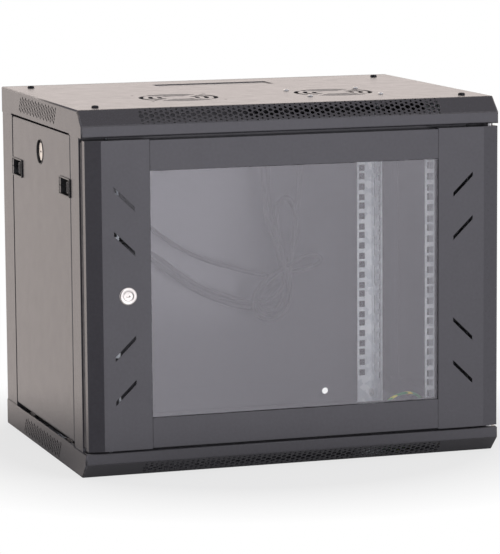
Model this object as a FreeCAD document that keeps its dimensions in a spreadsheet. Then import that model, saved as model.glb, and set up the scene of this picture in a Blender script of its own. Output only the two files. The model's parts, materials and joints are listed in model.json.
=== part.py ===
import FreeCAD, Part
import math
import os
import re
import Sketcher
from FreeCAD import Placement, Rotation, Vector

# Wall mount network cabinet, nine rack units high.
# Frame: millimetres, X to the right, +Y from the glass door to the wall, +Z up.
# Origin: the centre of the base footprint, on the underside of the bottom cover.

os.makedirs("parts", exist_ok=True)
doc = FreeCAD.newDocument("wall_cabinet")

SIZES = {
    # envelope
    "cab_width": 600, "cab_depth": 450, "cab_height": 501,
    # sheet thicknesses
    "cover_sheet": 1.2, "back_sheet": 1.2, "frame_sheet": 1.5, "rail_sheet": 2,
    "panel_sheet": 1, "door_sheet": 1.2,
    # clearances
    "seat_gap": 0.3, "bolt_gap": 0.2, "shaft_gap": 0.05, "seam_gap": 0.4,
    # covers
    "cover_face": 16.2, "chamfer_rise": 20.4, "chamfer_depth": 21.6, "lip_depth": 16,
    "vent_pitch": 14.7, "vent_columns": 30, "vent_row_pitch": 5.6,
    "vent_large": 2.9, "vent_small": 2.3,
    "wall_hole_in": 100, "wall_hole_edge": 17.7, "wall_hole_radius": 5,
    "entry_width": 173.2, "entry_depth": 48, "entry_from_back": 104, "entry_overlap": 8,
    # posts and back returns
    "post_set_back": 19, "post_depth": 42.4, "post_width": 36.8, "post_lip": 13,
    "return_depth": 57, "tab_half": 14,
    "corner_bolt_in": 34.3, "corner_front_in": 53, "corner_rear_in": 41,
    # depth rails
    "beam_low": 14, "beam_high": 37, "beam_wall_gap": 13.8, "keeper_drop": 12,
    "keeper_half": 20,
    # nineteen-inch mounting rails
    "rack_unit": 44.45, "unit_count": 9, "hole_step": 15.875, "hole_size": 9.5,
    "hole_x": 232.55, "hole_in_unit": 6.35,
    "rail_inner_x": 225, "rail_outer_x": 249.5, "rail_web": 44, "rail_end": 10,
    "rail_front_in": 88, "rail_rear_in": 77.7, "rail_bolt_in": 8, "rail_bolt_z": 27,
    "slot_length": 33, "slot_width": 7, "slot_in": 13,
    # fasteners
    "bolt_radius": 3, "bolt_head_radius": 7, "bolt_head": 3, "nut_radius": 5.8, "nut_height": 4.5,
    "screw_radius": 2, "screw_head_radius": 4, "screw_head": 2.4, "screw_nut_radius": 4,
    "screw_nut": 3.2,
    # fan and its opening
    "fan_x": 114.5, "fan_y": 60, "fan_size": 120, "fan_depth": 25, "fan_bore": 57.5,
    "fan_wall": 2.3, "fan_flange": 4, "fan_screw_half": 52.5, "stator_radius": 21,
    "stator_height": 3.2, "strut_width": 5, "hub_radius": 20, "hub_height": 18.6,
    "blade_gap": 2, "blade_thick": 1.4, "blade_root_chord": 19, "blade_tip_chord": 33,
    "blade_root_pitch": 46, "blade_tip_pitch": 25, "blade_count": 7, "fan_shaft": 2,
    "ring_radius": 27, "ring_pitch": 13, "ring_width": 6.5, "ring_rib": 9,
    # door
    "door_side_gap": 3.2, "door_gap": 3, "door_proud": 8.2, "bevel_drop": 4.2,
    "bevel_width": 21.8, "door_depth": 17.2, "stile_width": 89.3, "door_rail_width": 42.3,
    "glass_thick": 4, "glass_overlap": 8, "seal_thick": 1, "seal_show": 1, "rail_step": 1.3,
    "grip_in": 52.8, "grip_far_z": 131.7, "grip_near_z": 71.2, "grip_run": 28.8,
    "grip_end": 6, "grip_rise": 28,
    "clip_reach": 6, "clip_sheet": 1.5, "clip_length": 30, "clip_spacing": 220,
    # door lock
    "lock_in": 56.8, "lock_bezel": 12.25, "lock_bezel_proud": 1.5, "lock_barrel": 9,
    "lock_plug": 6.5, "lock_nut": 13, "lock_nut_height": 4, "lock_stem": 4,
    "cam_width": 16, "cam_reach": 32, "cam_sheet": 2, "cam_gap": 0.7, "key_width": 1.4,
    "key_length": 7, "key_depth": 4,
    # door hinge
    "hinge_in": 12, "hinge_set_back": 5, "pin_radius": 3, "pin_collar": 5, "pin_over": 2.5,
    "pin_length": 36, "bracket_arm": 15, "bracket_width": 11, "ear_height": 4,
    "bracket_height": 24, "collar_height": 4, "lever_radius": 1.5, "lever_length": 14,
    # side panels
    "panel_front_gap": 2, "panel_rear_gap": 2.3, "panel_low_gap": 4, "panel_flange": 12,
    "panel_top_gap": 0.6, "tab_y": 105, "tab_length": 30, "tab_drop": 12,
    "tab_sheet": 1.5,
    # side panel locks
    "side_lock_y": 5, "side_lock_drop": 75, "cup_flange": 18, "cup_radius": 16.5,
    "cup_proud": 0.8, "cup_depth": 6, "side_plug": 12, "side_plug_proud": 3,
    "side_barrel": 8, "side_cam_reach": 36,
    # side panel latches
    "latch_drop": 110, "latch_front_in": 28.6, "latch_rear_in": 29.2, "latch_length": 56,
    "latch_height": 26, "latch_proud": 2, "latch_frame": 4.5, "latch_depth": 9,
    "thumb_length": 22, "thumb_rear_room": 17, "bolt_sheet": 2, "bolt_height": 12,
    "latch_hold": 1,
    # cords
    "cord_radius": 3, "wire_radius": 2, "hank_front_y": 176, "hank_thick": 18,
}

sizes = doc.addObject("Spreadsheet::Sheet", "Sizes")
for row, (name, value) in enumerate(SIZES.items(), 1):
    sizes.set(f"A{row}", name)
    sizes.set(f"B{row}", str(value))
    sizes.setAlias(f"B{row}", name)
doc.recompute()

# Places worked out from the sheet, as text for the expressions.
COVER_HEIGHT = "(cover_face + chamfer_rise)"
HALF_WIDTH = "(cab_width/2)"
HALF_DEPTH = "(cab_depth/2)"
INNER_X = "(cab_width/2 - cover_sheet)"
COVER_BACK = "(cab_depth/2 - back_sheet)"
COVER_INNER_BACK = "(cab_depth/2 - back_sheet - cover_sheet)"
SLOPE = "sqrt(chamfer_rise^2 + chamfer_depth^2)"
FIRST_HOLE = "(cab_height/2 - unit_count*rack_unit/2 + hole_in_unit)"
DOOR_LOW = f"({COVER_HEIGHT} + door_gap)"
DOOR_HIGH = f"(cab_height - {COVER_HEIGHT} - door_gap)"
PANEL_HIGH = f"(cab_height - {COVER_HEIGHT} - panel_top_gap)"
SEAL_FRONT = "(-glass_front_y - seal_thick)"
TOP_INSIDE = "(cab_height - cover_sheet)"
SIDES = {"left": -1, "right": 1}
PLACES = {
    "wall_hole_x": "cab_width/2 - wall_hole_in",
    "entry_front_y": "cab_depth/2 - entry_from_back",
    "post_front_y": "cab_depth/2 - post_set_back",
    "post_rear_y": "post_front_y - post_depth",
    "post_inner_x": "cab_width/2 - cover_sheet - post_width",
    "return_front_y": "cab_depth/2 - return_depth",
    "corner_bolt_x": "cab_width/2 - corner_bolt_in",
    "corner_front_y": "cab_depth/2 - corner_front_in",
    "corner_rear_y": "cab_depth/2 - corner_rear_in",
    "beam_outer_x": "cab_width/2 - cover_sheet - beam_wall_gap",
    "rail_front_y": "cab_depth/2 - rail_front_in",
    "rail_rear_y": "cab_depth/2 - rail_rear_in",
    "door_edge_x": "cab_width/2 - door_side_gap",
    "door_bevel_x": "door_edge_x - bevel_width",
    "door_front_y": "cab_depth/2 + door_proud",
    "door_bevel_y": "door_front_y - bevel_drop",
    "door_back_y": "door_front_y - door_depth",
    "glass_half": "door_edge_x - stile_width",
    "glass_rise": f"cab_height/2 - {DOOR_LOW} - door_rail_width",
    "glass_front_y": "door_back_y + glass_thick",
    "grip_x": "door_edge_x - grip_in",
    "lock_x": "door_edge_x - lock_in",
    "hinge_x": "cab_width/2 - hinge_in",
    "hinge_y": "cab_depth/2 - hinge_set_back",
    "panel_front_y": "post_rear_y - panel_front_gap",
    "panel_rear_y": "return_front_y - panel_rear_gap",
    "panel_low_z": f"{COVER_HEIGHT} + panel_low_gap",
    "side_lock_z": "cab_height - side_lock_drop",
    "latch_z": "cab_height - latch_drop",
    "latch_front_y": "panel_front_y - latch_front_in",
    "latch_rear_y": "panel_rear_y - latch_rear_in",
}


def ex(text):
    """Writes out the named places, then turns size names into spreadsheet references."""
    def swap(found):
        name = found.group()
        return f"({ex(PLACES[name])})" if name in PLACES else "Sizes." + name
    return re.sub(r"\b[a-z]+(?:_[a-z0-9]+)+\b", swap, text)


def val(text):
    """Value of an expression in millimetres or degrees."""
    found = sizes.evalExpression(ex(text))
    return float(getattr(found, "Value", found))


def new_body(label):
    made = doc.addObject("PartDesign::Body", label)
    made.Label = label
    return made


def plane(part, role):
    return next(f for f in part.Origin.OriginFeatures if f.Role == role + "_Plane")


def sketch(part, role, level="0", shift=("0", "0"), tilt=None):
    """Sketch on an origin plane of the body, at a level along the plane's positive axis."""
    made = part.newObject("Sketcher::SketchObject", part.Label + "_sketch")
    made.AttachmentSupport = [(plane(part, role), "")]
    made.MapMode = "FlatFace"
    if tilt:
        made.AttachmentOffset = Placement(Vector(), Rotation(Vector(1, 0, 0), val(tilt)))
        made.setExpression("AttachmentOffset.Rotation.Angle", ex(tilt))
    depth = f"-({level})" if role == "XZ" else level
    made.setExpression("AttachmentOffset.Base.x", ex(shift[0]))
    made.setExpression("AttachmentOffset.Base.y", ex(shift[1]))
    made.setExpression("AttachmentOffset.Base.z", ex(depth))
    return made


def pin_point(made, edge, end, x, y):
    """Holds one point of an edge at two expressions."""
    for kind, text in (("DistanceX", x), ("DistanceY", y)):
        index = made.addConstraint(Sketcher.Constraint(kind, -1, 1, edge, end, val(text)))
        made.setExpression(f"Constraints[{index}]", ex(text))


def outline(made, points, arcs=None):
    """Closed loop through the points. arcs maps an edge number to (radius, turn), where the
    radius is an expression or "half" for a semicircle, and turn is 1 to the left or -1."""
    arcs = arcs or {}
    places = [Vector(val(x), val(y), 0) for x, y in points]
    first = made.GeometryCount
    count = len(points)
    starts = {}
    for number, start in enumerate(places):
        end = places[(number + 1) % count]
        if number not in arcs:
            made.addGeometry(Part.LineSegment(start, end))
            starts[number] = 1
            continue
        text, turn = arcs[number]
        middle = (start + end) * 0.5
        chord = end - start
        radius = chord.Length / 2 if text == "half" else val(text)
        across = Vector(-chord.y, chord.x, 0).normalize()
        rise = radius - max(radius**2 - (chord.Length / 2) ** 2, 0) ** 0.5
        top = middle - across * (rise * turn)
        made.addGeometry(Part.Arc(start, top, end))
        starts[number] = 1 if turn > 0 else 2
    for number in range(count):
        after = (number + 1) % count
        made.addConstraint(Sketcher.Constraint(
            "Coincident", first + number, 3 - starts[number], first + after, starts[after]))
    for number, (x, y) in enumerate(points):
        pin_point(made, first + number, starts[number], x, y)
    for number, (text, turn) in arcs.items():
        edge = first + number
        if text == "half":
            chord = places[(number + 1) % count] - places[number]
            kind = "DistanceY" if abs(chord.x) > abs(chord.y) else "DistanceX"
            made.addConstraint(Sketcher.Constraint(kind, edge, 1, edge, 3, 0.0))
            continue
        index = made.addConstraint(Sketcher.Constraint("Radius", edge, val(text)))
        made.setExpression(f"Constraints[{index}]", ex(text))


def box_loop(made, low_x, high_x, low_y, high_y):
    outline(made, [(low_x, low_y), (high_x, low_y), (high_x, high_y), (low_x, high_y)])


def circle(made, x, y, radius):
    edge = made.addGeometry(Part.Circle(Vector(val(x), val(y), 0), Vector(0, 0, 1), val(radius)))
    pin_point(made, edge, 3, x, y)
    index = made.addConstraint(Sketcher.Constraint("Radius", edge, val(radius)))
    made.setExpression(f"Constraints[{index}]", ex(radius))


def light_hole(made, x, y, radius):
    """Six-sided clearance hole that a round shank of that radius just passes."""
    outline(made, [(f"{x} + {radius}/cos(30 deg)*cos({60*k} deg)",
                    f"{y} + {radius}/cos(30 deg)*sin({60*k} deg)") for k in range(6)])


def extrude(kind, made, length, along):
    """Pad or Pocket of a sketch. along is +1 or -1 on the plane's axis, or 0 for both ways."""
    part = made.getParentGeoFeatureGroup()
    feature = part.newObject("PartDesign::" + kind, part.Label + "_" + kind.lower())
    feature.Profile = made
    feature.setExpression("Length", ex(length))
    if along == 0:
        feature.SideType = "Symmetric"
    else:
        axis_is_normal = "XZ" not in made.AttachmentSupport[0][0].Role
        feature.Reversed = (along > 0) == ((kind == "Pocket") == axis_is_normal)
    return feature


def pad(made, length, along=1):
    return extrude("Pad", made, length, along)


def pocket(made, length, along=1):
    return extrude("Pocket", made, length, along)


def grid(part, feature, made, first, second=None):
    """Linear pattern; first and second are (sketch axis, count, pitch)."""
    pattern = part.newObject("PartDesign::LinearPattern", part.Label + "_pattern")
    pattern.Originals = [feature]
    for number, way in (("", first), ("2", second)):
        if way is None:
            continue
        axis, count, pitch = way
        setattr(pattern, "Direction" + number, (made, [axis]))
        setattr(pattern, "Mode" + number, "Spacing")
        pattern.setExpression("Offset" + number, ex(pitch))
        pattern.setExpression("Occurrences" + number, ex(count))
    part.Tip = pattern
    return pattern


def ring_of(part, feature, made, count):
    pattern = part.newObject("PartDesign::PolarPattern", part.Label + "_ring")
    pattern.Originals = [feature]
    pattern.Axis = (made, ["N_Axis"])
    pattern.Angle = 360
    pattern.setExpression("Occurrences", ex(count))
    part.Tip = pattern


# Covers: folded trays with a chamfered front edge. The top one is the bottom one turned over.

def cover(label, top):
    part = new_body(label)
    front = f"(-{HALF_DEPTH})"
    pad(section_sketch(part, front), "cab_width", 0)
    pocket(hollow_sketch(part, front), "cab_width - 2*cover_sheet", 0)

    lip = sketch(part, "XY", COVER_HEIGHT)
    box_loop(lip, f"-{INNER_X}", INNER_X, front, f"{front} + lip_depth")
    pad(lip, "cover_sheet", -1)

    # Relief slits for the folded sides of the back panel.
    slits = sketch(part, "XY", "cover_sheet")
    for side in (-1, 1):
        box_loop(slits, f"{side}*{INNER_X}", f"{side}*({INNER_X} - back_sheet - seat_gap)",
                 f"{COVER_INNER_BACK} - seat_gap", COVER_BACK)
    pocket(slits, COVER_HEIGHT, 1)

    wall_holes = sketch(part, "XZ", COVER_BACK)
    for side in (-1, 1):
        circle(wall_holes, f"{side}*wall_hole_x", "wall_hole_edge", "wall_hole_radius")
    pocket(wall_holes, "cover_sheet", -1)

    holes = sketch(part, "XY")
    for side in (-1, 1):
        for y in ("-corner_front_y", "corner_rear_y"):
            light_hole(holes, f"{side}*corner_bolt_x", y, "(bolt_radius + bolt_gap)")
    box_loop(holes, "-entry_width/2", "entry_width/2", "entry_front_y",
             "entry_front_y + entry_depth")
    pocket(holes, "cover_sheet", 1)

    hinge_side = "-hinge_x" if top else "hinge_x"
    hinge = sketch(part, "XY", COVER_HEIGHT)
    circle(hinge, hinge_side, "-hinge_y", "pin_radius + shaft_gap")
    pocket(hinge, "cover_sheet", -1)

    if top:
        for side in (-1, 1):
            fan_opening(part, side)
    vents(part)
    if top:
        part.Placement = Placement(Vector(), Rotation(Vector(0, 1, 0), 180))
        part.setExpression("Placement.Base.z", ex("cab_height"))


def section_sketch(part, front):
    made = sketch(part, "YZ")
    outline(made, [(front, COVER_HEIGHT), (front, "chamfer_rise"),
                   (f"{front} + chamfer_depth", "0"), (COVER_BACK, "0"),
                   (COVER_BACK, COVER_HEIGHT)])
    return made


def hollow_sketch(part, front):
    """The cover's inside, one sheet thickness in from every wall."""
    made = sketch(part, "YZ")
    outline(made, [
        (f"{front} + cover_sheet", f"{COVER_HEIGHT} + cover_sheet"),
        (f"{front} + cover_sheet",
         f"chamfer_rise + cover_sheet*({SLOPE} - chamfer_rise)/chamfer_depth"),
        (f"{front} + chamfer_depth + cover_sheet*({SLOPE} - chamfer_depth)/chamfer_rise",
         "cover_sheet"),
        (COVER_INNER_BACK, "cover_sheet"),
        (COVER_INNER_BACK, f"{COVER_HEIGHT} + cover_sheet")])
    return made


def vents(part):
    """Staggered rows of holes along the chamfer, a large row between two small ones."""
    tilt = "atan(chamfer_depth/chamfer_rise)"
    # The tilted sketch plane passes through the middle of the chamfer.
    for rows, sides, radius, columns, out in (
            (("0",), 6, "vent_large", "vent_columns", "0"),
            (("-vent_row_pitch", "vent_row_pitch"), 4, "vent_small", "vent_columns - 1",
             "0.5")):
        made = sketch(part, "XZ", f"-{HALF_DEPTH} + chamfer_depth/2",
                      ("0", "chamfer_rise/2"), tilt)
        first = f"(-(vent_columns - 1)/2 + {out})*vent_pitch"
        for row in rows:
            outline(made, [(f"{first} + {radius}*cos({360//sides*k} deg)",
                            f"{row} + {radius}*sin({360//sides*k} deg)") for k in range(sides)])
        cut = pocket(made, "2*cover_sheet", 1)
        grid(part, cut, made, ("H_Axis", columns, "vent_pitch"))


def fan_opening(part, side):
    """Three rings of quarter slots, parted by two diagonal ribs, with four screw holes."""
    centre = (f"{side}*fan_x", "-fan_y")
    made = sketch(part, "XY", "0", centre)
    for ring in (0, 1, 2):
        inner = f"(ring_radius + {ring}*ring_pitch - ring_width/2)"
        outer = f"(ring_radius + {ring}*ring_pitch + ring_width/2)"
        points = []
        for radius, sign in ((inner, 1), (inner, -1), (outer, -1), (outer, 1)):
            angle = f"(45 deg - asin(ring_rib/2/{radius}))"
            points.append((f"{radius}*cos({angle})", f"{sign}*{radius}*sin({angle})"))
        outline(made, points, {0: (inner, -1), 2: (outer, 1)})
    ring_of(part, pocket(made, "cover_sheet", 1), made, "4")
    screws = sketch(part, "XY", "0", centre)
    for x in (-1, 1):
        for y in (-1, 1):
            light_hole(screws, f"{x}*fan_screw_half", f"{y}*fan_screw_half",
                       "(screw_radius + bolt_gap)")
    part.Tip = pocket(screws, "cover_sheet", 1)


cover("top_cover", True)
cover("bottom_cover", False)


# Frame: two front posts, a back panel folded round the rear corners, four depth beams.

def end_tabs(part, side, low_y, high_y, bolt_y):
    """Flat tabs inside both covers, with the hole of the corner bolt."""
    for level, along in (("cover_sheet", 1), (TOP_INSIDE, -1)):
        tab = sketch(part, "XY", level)
        box_loop(tab, f"{side}*{INNER_X}", f"{side}*(corner_bolt_x - tab_half)", low_y, high_y)
        pad(tab, "frame_sheet", along)
        hole = sketch(part, "XY", level)
        light_hole(hole, f"{side}*corner_bolt_x", bolt_y, "(bolt_radius + bolt_gap)")
        pocket(hole, "frame_sheet", along)


def front_post(name, side):
    part = new_body("post_front_" + name)
    made = sketch(part, "XY", "cover_sheet")
    front, rear, sheet = "-post_front_y", "-post_rear_y", "frame_sheet"
    outline(made, [(f"{side}*({x})", y) for x, y in (
        (INNER_X, front), (INNER_X, rear), (f"{INNER_X} - post_lip", rear),
        (f"{INNER_X} - post_lip", f"{rear} - {sheet}"),
        (f"{INNER_X} - {sheet}", f"{rear} - {sheet}"),
        (f"{INNER_X} - {sheet}", f"{front} + {sheet}"),
        ("post_inner_x", f"{front} + {sheet}"), ("post_inner_x", front))])
    pad(made, "cab_height - 2*cover_sheet")
    end_tabs(part, side, "-corner_front_y - tab_half", f"{rear} - {sheet}/2", "-corner_front_y")
    trim = sketch(part, "YZ")
    foot = (f"(-{HALF_DEPTH} + chamfer_depth + cover_sheet*({SLOPE} - chamfer_depth)"
            "/chamfer_rise + seat_gap)")
    low = ("chamfer_depth*0.2", "cover_sheet - chamfer_rise*0.2")
    high = (f"{foot} - chamfer_depth", "cover_sheet + chamfer_rise")
    corner = [(f"{foot} + {low[0]}", low[1]), high, (high[0], low[1])]
    outline(trim, corner)
    outline(trim, [(y, f"cab_height - ({z})") for y, z in corner])
    pocket(trim, "cab_width", 0)


def back_panel():
    part = new_body("back_panel")
    plate = sketch(part, "XY")
    box_loop(plate, f"-{INNER_X}", INNER_X, COVER_BACK, HALF_DEPTH)
    pad(plate, "cab_height")
    returns = sketch(part, "XY", "cover_sheet")
    front, sheet = "return_front_y", "back_sheet"
    for side in (-1, 1):
        outline(returns, [(f"{side}*({x})", y) for x, y in (
            (INNER_X, HALF_DEPTH), (INNER_X, front), (f"{INNER_X} - post_lip", front),
            (f"{INNER_X} - post_lip", f"{front} + {sheet}"),
            (f"{INNER_X} - {sheet}", f"{front} + {sheet}"),
            (f"{INNER_X} - {sheet}", HALF_DEPTH))])
    pad(returns, "cab_height - 2*cover_sheet")
    for side in (-1, 1):
        end_tabs(part, side, f"{front} + {sheet}/2", "corner_rear_y + tab_half", "corner_rear_y")
    holes = sketch(part, "XZ", HALF_DEPTH)
    for side in (-1, 1):
        circle(holes, f"{side}*wall_hole_x", "wall_hole_edge", "wall_hole_radius")
        circle(holes, f"{side}*wall_hole_x", "cab_height - wall_hole_edge", "wall_hole_radius")
    pocket(holes, sheet, -1)


def depth_beam(label, side, top):
    """Angle beam that carries the ends of two mounting rails."""
    part = new_body(label)
    def level(text):
        return f"cab_height - ({text})" if top else text
    inner = "rail_outer_x"
    made = sketch(part, "XZ", "-post_front_y + frame_sheet")
    outline(made, [(f"{side}*({x})", level(z)) for x, z in (
        (inner, "beam_low"), (f"{inner} + frame_sheet", "beam_low"),
        (f"{inner} + frame_sheet", "beam_high - frame_sheet"),
        ("beam_outer_x", "beam_high - frame_sheet"), ("beam_outer_x", "beam_high"),
        (inner, "beam_high"))])
    pad(made, f"{COVER_INNER_BACK} + post_front_y - frame_sheet", 1)
    if top:
        # Keeper lip, which the cam of the side lock turns in behind.
        keeper = sketch(part, "YZ", f"{side}*beam_outer_x")
        box_loop(keeper, "side_lock_y - keeper_half", "side_lock_y + keeper_half",
                 level("beam_high + keeper_drop"), level("beam_high - frame_sheet"))
        pad(keeper, "frame_sheet", -side)
    bolts = sketch(part, "YZ", f"{side}*{inner}")
    for y in ("-rail_front_y + rail_bolt_in", "rail_rear_y - rail_bolt_in"):
        light_hole(bolts, y, level("rail_bolt_z"), "(bolt_radius + bolt_gap)")
    pocket(bolts, "frame_sheet", side)


def mounting_rail(label, side, front):
    """Nineteen-inch rail: square holes in the flange, a slot for each unit in the web."""
    part = new_body(label)
    face = "-rail_front_y" if front else "rail_rear_y"
    way = 1 if front else -1
    inward = f"{way}*rail_sheet"
    made = sketch(part, "XY", "rail_end")
    outline(made, [(f"{side}*({x})", y) for x, y in (
        ("rail_inner_x", face), ("rail_outer_x", face),
        ("rail_outer_x", f"{face} + {way}*rail_web"),
        ("rail_outer_x - rail_sheet", f"{face} + {way}*rail_web"),
        ("rail_outer_x - rail_sheet", f"{face} + {inward}"),
        ("rail_inner_x", f"{face} + {inward}"))])
    pad(made, "cab_height - 2*rail_end")

    square = sketch(part, "XZ", face)
    box_loop(square, f"{side}*hole_x - hole_size/2", f"{side}*hole_x + hole_size/2",
             f"{FIRST_HOLE} - hole_size/2", f"{FIRST_HOLE} + hole_size/2")
    grid(part, pocket(square, "rail_sheet", way), square,
         ("V_Axis", "3", "hole_step"), ("V_Axis", "unit_count", "rack_unit"))

    slot = sketch(part, "YZ", f"{side}*rail_outer_x")
    centre = f"({face} + {way}*slot_in)"
    box_loop(slot, f"{centre} - slot_width/2", f"{centre} + slot_width/2",
             f"{FIRST_HOLE} + hole_step - slot_length/2",
             f"{FIRST_HOLE} + hole_step + slot_length/2")
    grid(part, pocket(slot, "rail_sheet", -side), slot, ("V_Axis", "unit_count", "rack_unit"))

    bolts = sketch(part, "YZ", f"{side}*rail_outer_x")
    for z in ("rail_bolt_z", "cab_height - rail_bolt_z"):
        light_hole(bolts, f"{face} + {way}*rail_bolt_in", z, "(bolt_radius + bolt_gap)")
    part.Tip = pocket(bolts, "rail_sheet", -side)


for side_name, side_sign in SIDES.items():
    front_post(side_name, side_sign)
    for end in ("bottom", "top"):
        depth_beam(f"depth_beam_{end}_{side_name}", side_sign, end == "top")
    for end in ("front", "rear"):
        mounting_rail(f"rail_{end}_{side_name}", side_sign, end == "front")
back_panel()


def entry_plate(label, low):
    """Blanking plate behind a cable entry."""
    part = new_body(label)
    made = sketch(part, "XY", low)
    box_loop(made, "-entry_width/2 - entry_overlap", "entry_width/2 + entry_overlap",
             "entry_front_y - entry_overlap", "entry_front_y + entry_depth + entry_overlap")
    pad(made, "frame_sheet")


entry_plate("top_entry_plate", f"{TOP_INSIDE} - frame_sheet")
entry_plate("bottom_entry_plate", "cover_sheet")


# Fasteners: rows of (kind, radius, start, length) on one axis, fused for each bolt.

TURNS = {"X": Rotation(Vector(0, 1, 0), 90), "Y": Rotation(Vector(1, 0, 0), -90),
         "Z": Rotation()}
ACROSS = {"X": "yz", "Y": "xz", "Z": "xy"}


def stretch(name, axis, across, kind, radius, start, length):
    made = doc.addObject("Part::Prism" if kind == "hex" else "Part::Cylinder", name)
    made.Placement = Placement(Vector(), TURNS[axis])
    made.setExpression("Circumradius" if kind == "hex" else "Radius", ex(radius))
    made.setExpression("Height", ex(length))
    for letter, text in zip(ACROSS[axis], across):
        made.setExpression("Placement.Base." + letter, ex(text))
    made.setExpression("Placement.Base." + axis.lower(), ex(start))
    return made


def fasteners(label, axis, places):
    """places: list of (across, rows)."""
    pieces = []
    for number, (across, rows) in enumerate(places):
        for kind, radius, start, length in rows:
            pieces.append(stretch(f"{label}_{number}", axis, across, kind, radius, start, length))
    group = doc.addObject("Part::MultiFuse", label)
    group.Shapes = pieces
    group.Label = label


def corner_places():
    return [(f"{side}*corner_bolt_x", y) for side in (-1, 1)
            for y in ("-corner_front_y", "corner_rear_y")]


TAB_TOP = f"({TOP_INSIDE} - frame_sheet)"
fasteners("top_cover_bolts", "Z", [(place, [
    ("round", "bolt_head_radius", "cab_height", "bolt_head"),
    ("hex", "bolt_radius", f"{TAB_TOP} - nut_height", f"cab_height - {TAB_TOP} + nut_height"),
    ("hex", "nut_radius", f"{TAB_TOP} - nut_height", "nut_height"),
]) for place in corner_places()])
fasteners("bottom_cover_bolts", "Z", [(place, [
    ("hex", "bolt_radius", "0", "cover_sheet + frame_sheet + nut_height"),
    ("hex", "nut_radius", "cover_sheet + frame_sheet", "nut_height"),
]) for place in corner_places()])


def rail_bolt_places():
    """Bolt heads on the rail web, nuts on the outer face of the beam."""
    inner, outer = "rail_outer_x - rail_sheet", "rail_outer_x + frame_sheet"
    places = []
    for side in (-1, 1):
        def start(low, length, turn=side):
            return low if turn > 0 else f"-({low}) - ({length})"
        for y in ("-rail_front_y + rail_bolt_in", "rail_rear_y - rail_bolt_in"):
            for z in ("rail_bolt_z", "cab_height - rail_bolt_z"):
                shank = f"({outer}) - ({inner}) + 2*nut_height"
                places.append(((y, z), [
                    ("hex", "nut_radius", start(f"{inner} - nut_height", "nut_height"),
                     "nut_height"),
                    ("hex", "bolt_radius", start(f"{inner} - nut_height", shank), shank),
                    ("hex", "nut_radius", start(outer, "nut_height"), "nut_height")]))
    return places


fasteners("rail_bolts", "X", rail_bolt_places())

FAN_FOOT = f"({TOP_INSIDE} - fan_depth)"
fasteners("fan_screws", "Z", [((f"fan_x + {x}*fan_screw_half", f"-fan_y + {y}*fan_screw_half"), [
    ("round", "screw_head_radius", "cab_height", "screw_head"),
    ("hex", "screw_radius", f"{FAN_FOOT} - screw_nut", f"cab_height - {FAN_FOOT} + screw_nut"),
    ("hex", "screw_nut_radius", f"{FAN_FOOT} - screw_nut", "screw_nut"),
]) for x in (-1, 1) for y in (-1, 1)])


# Fan: frame with stator, and a seven-blade rotor. Both are drawn about the fan's own axis.

def place_fan_piece(part):
    for letter, text in (("x", "fan_x"), ("y", "-fan_y"), ("z", FAN_FOOT)):
        part.setExpression("Placement.Base." + letter, ex(text))


def fan_frame():
    part = new_body("fan_frame")
    tube = sketch(part, "XY")
    circle(tube, "0", "0", "fan_bore + fan_wall")
    pad(tube, "fan_depth")
    for level in ("0", "fan_depth - fan_flange"):
        flange = sketch(part, "XY", level)
        box_loop(flange, "-fan_size/2", "fan_size/2", "-fan_size/2", "fan_size/2")
        pad(flange, "fan_flange")
    bore = sketch(part, "XY")
    circle(bore, "0", "0", "fan_bore")
    pocket(bore, "fan_depth", 1)
    stator = sketch(part, "XY")
    circle(stator, "0", "0", "stator_radius")
    base = pad(stator, "stator_height")
    strut = sketch(part, "XY")
    box_loop(strut, "stator_radius/2", "fan_bore + fan_wall/2", "-strut_width/2",
             "strut_width/2")
    ring_of(part, pad(strut, "stator_height"), stator, "4")
    holes = sketch(part, "XY")
    circle(holes, "0", "0", "fan_shaft + shaft_gap")
    for x in (-1, 1):
        for y in (-1, 1):
            light_hole(holes, f"{x}*fan_screw_half", f"{y}*fan_screw_half",
                       "(screw_radius + bolt_gap)")
    part.Tip = pocket(holes, "fan_depth", 1)
    place_fan_piece(part)


def blade_section(part, reach, chord, pitch):
    """Thin rectangle across the blade, pitched about its middle."""
    made = sketch(part, "YZ", reach)
    points = []
    for along, across in ((-1, -1), (1, -1), (1, 1), (-1, 1)):
        u, v = f"{along}*{chord}/2", f"{across}*blade_thick/2"
        points.append((f"{u}*cos({pitch}*1 deg) - {v}*sin({pitch}*1 deg)",
                       f"stator_height + seat_gap + hub_height/2 + {u}*sin({pitch}*1 deg)"
                       f" + {v}*cos({pitch}*1 deg)"))
    outline(made, points)
    return made


def fan_rotor():
    part = new_body("fan_rotor")
    hub = sketch(part, "XY", "stator_height + seat_gap")
    circle(hub, "0", "0", "hub_radius")
    pad(hub, "hub_height")
    shaft = sketch(part, "XY")
    circle(shaft, "0", "0", "fan_shaft")
    pad(shaft, "stator_height + seat_gap")
    root = blade_section(part, "hub_radius - 2", "blade_root_chord", "blade_root_pitch")
    reach = "sqrt((fan_bore - blade_gap)^2 - (blade_tip_chord/2)^2)"
    tip = blade_section(part, reach, "blade_tip_chord", "blade_tip_pitch")
    blade = part.newObject("PartDesign::AdditiveLoft", "blade")
    blade.Profile = root
    blade.Sections = [tip]
    blade.Ruled = True
    ring_of(part, blade, hub, "blade_count")
    place_fan_piece(part)


fan_frame()
fan_rotor()


# Door: two stiles and two rails of folded sheet round a glass pane.

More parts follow.
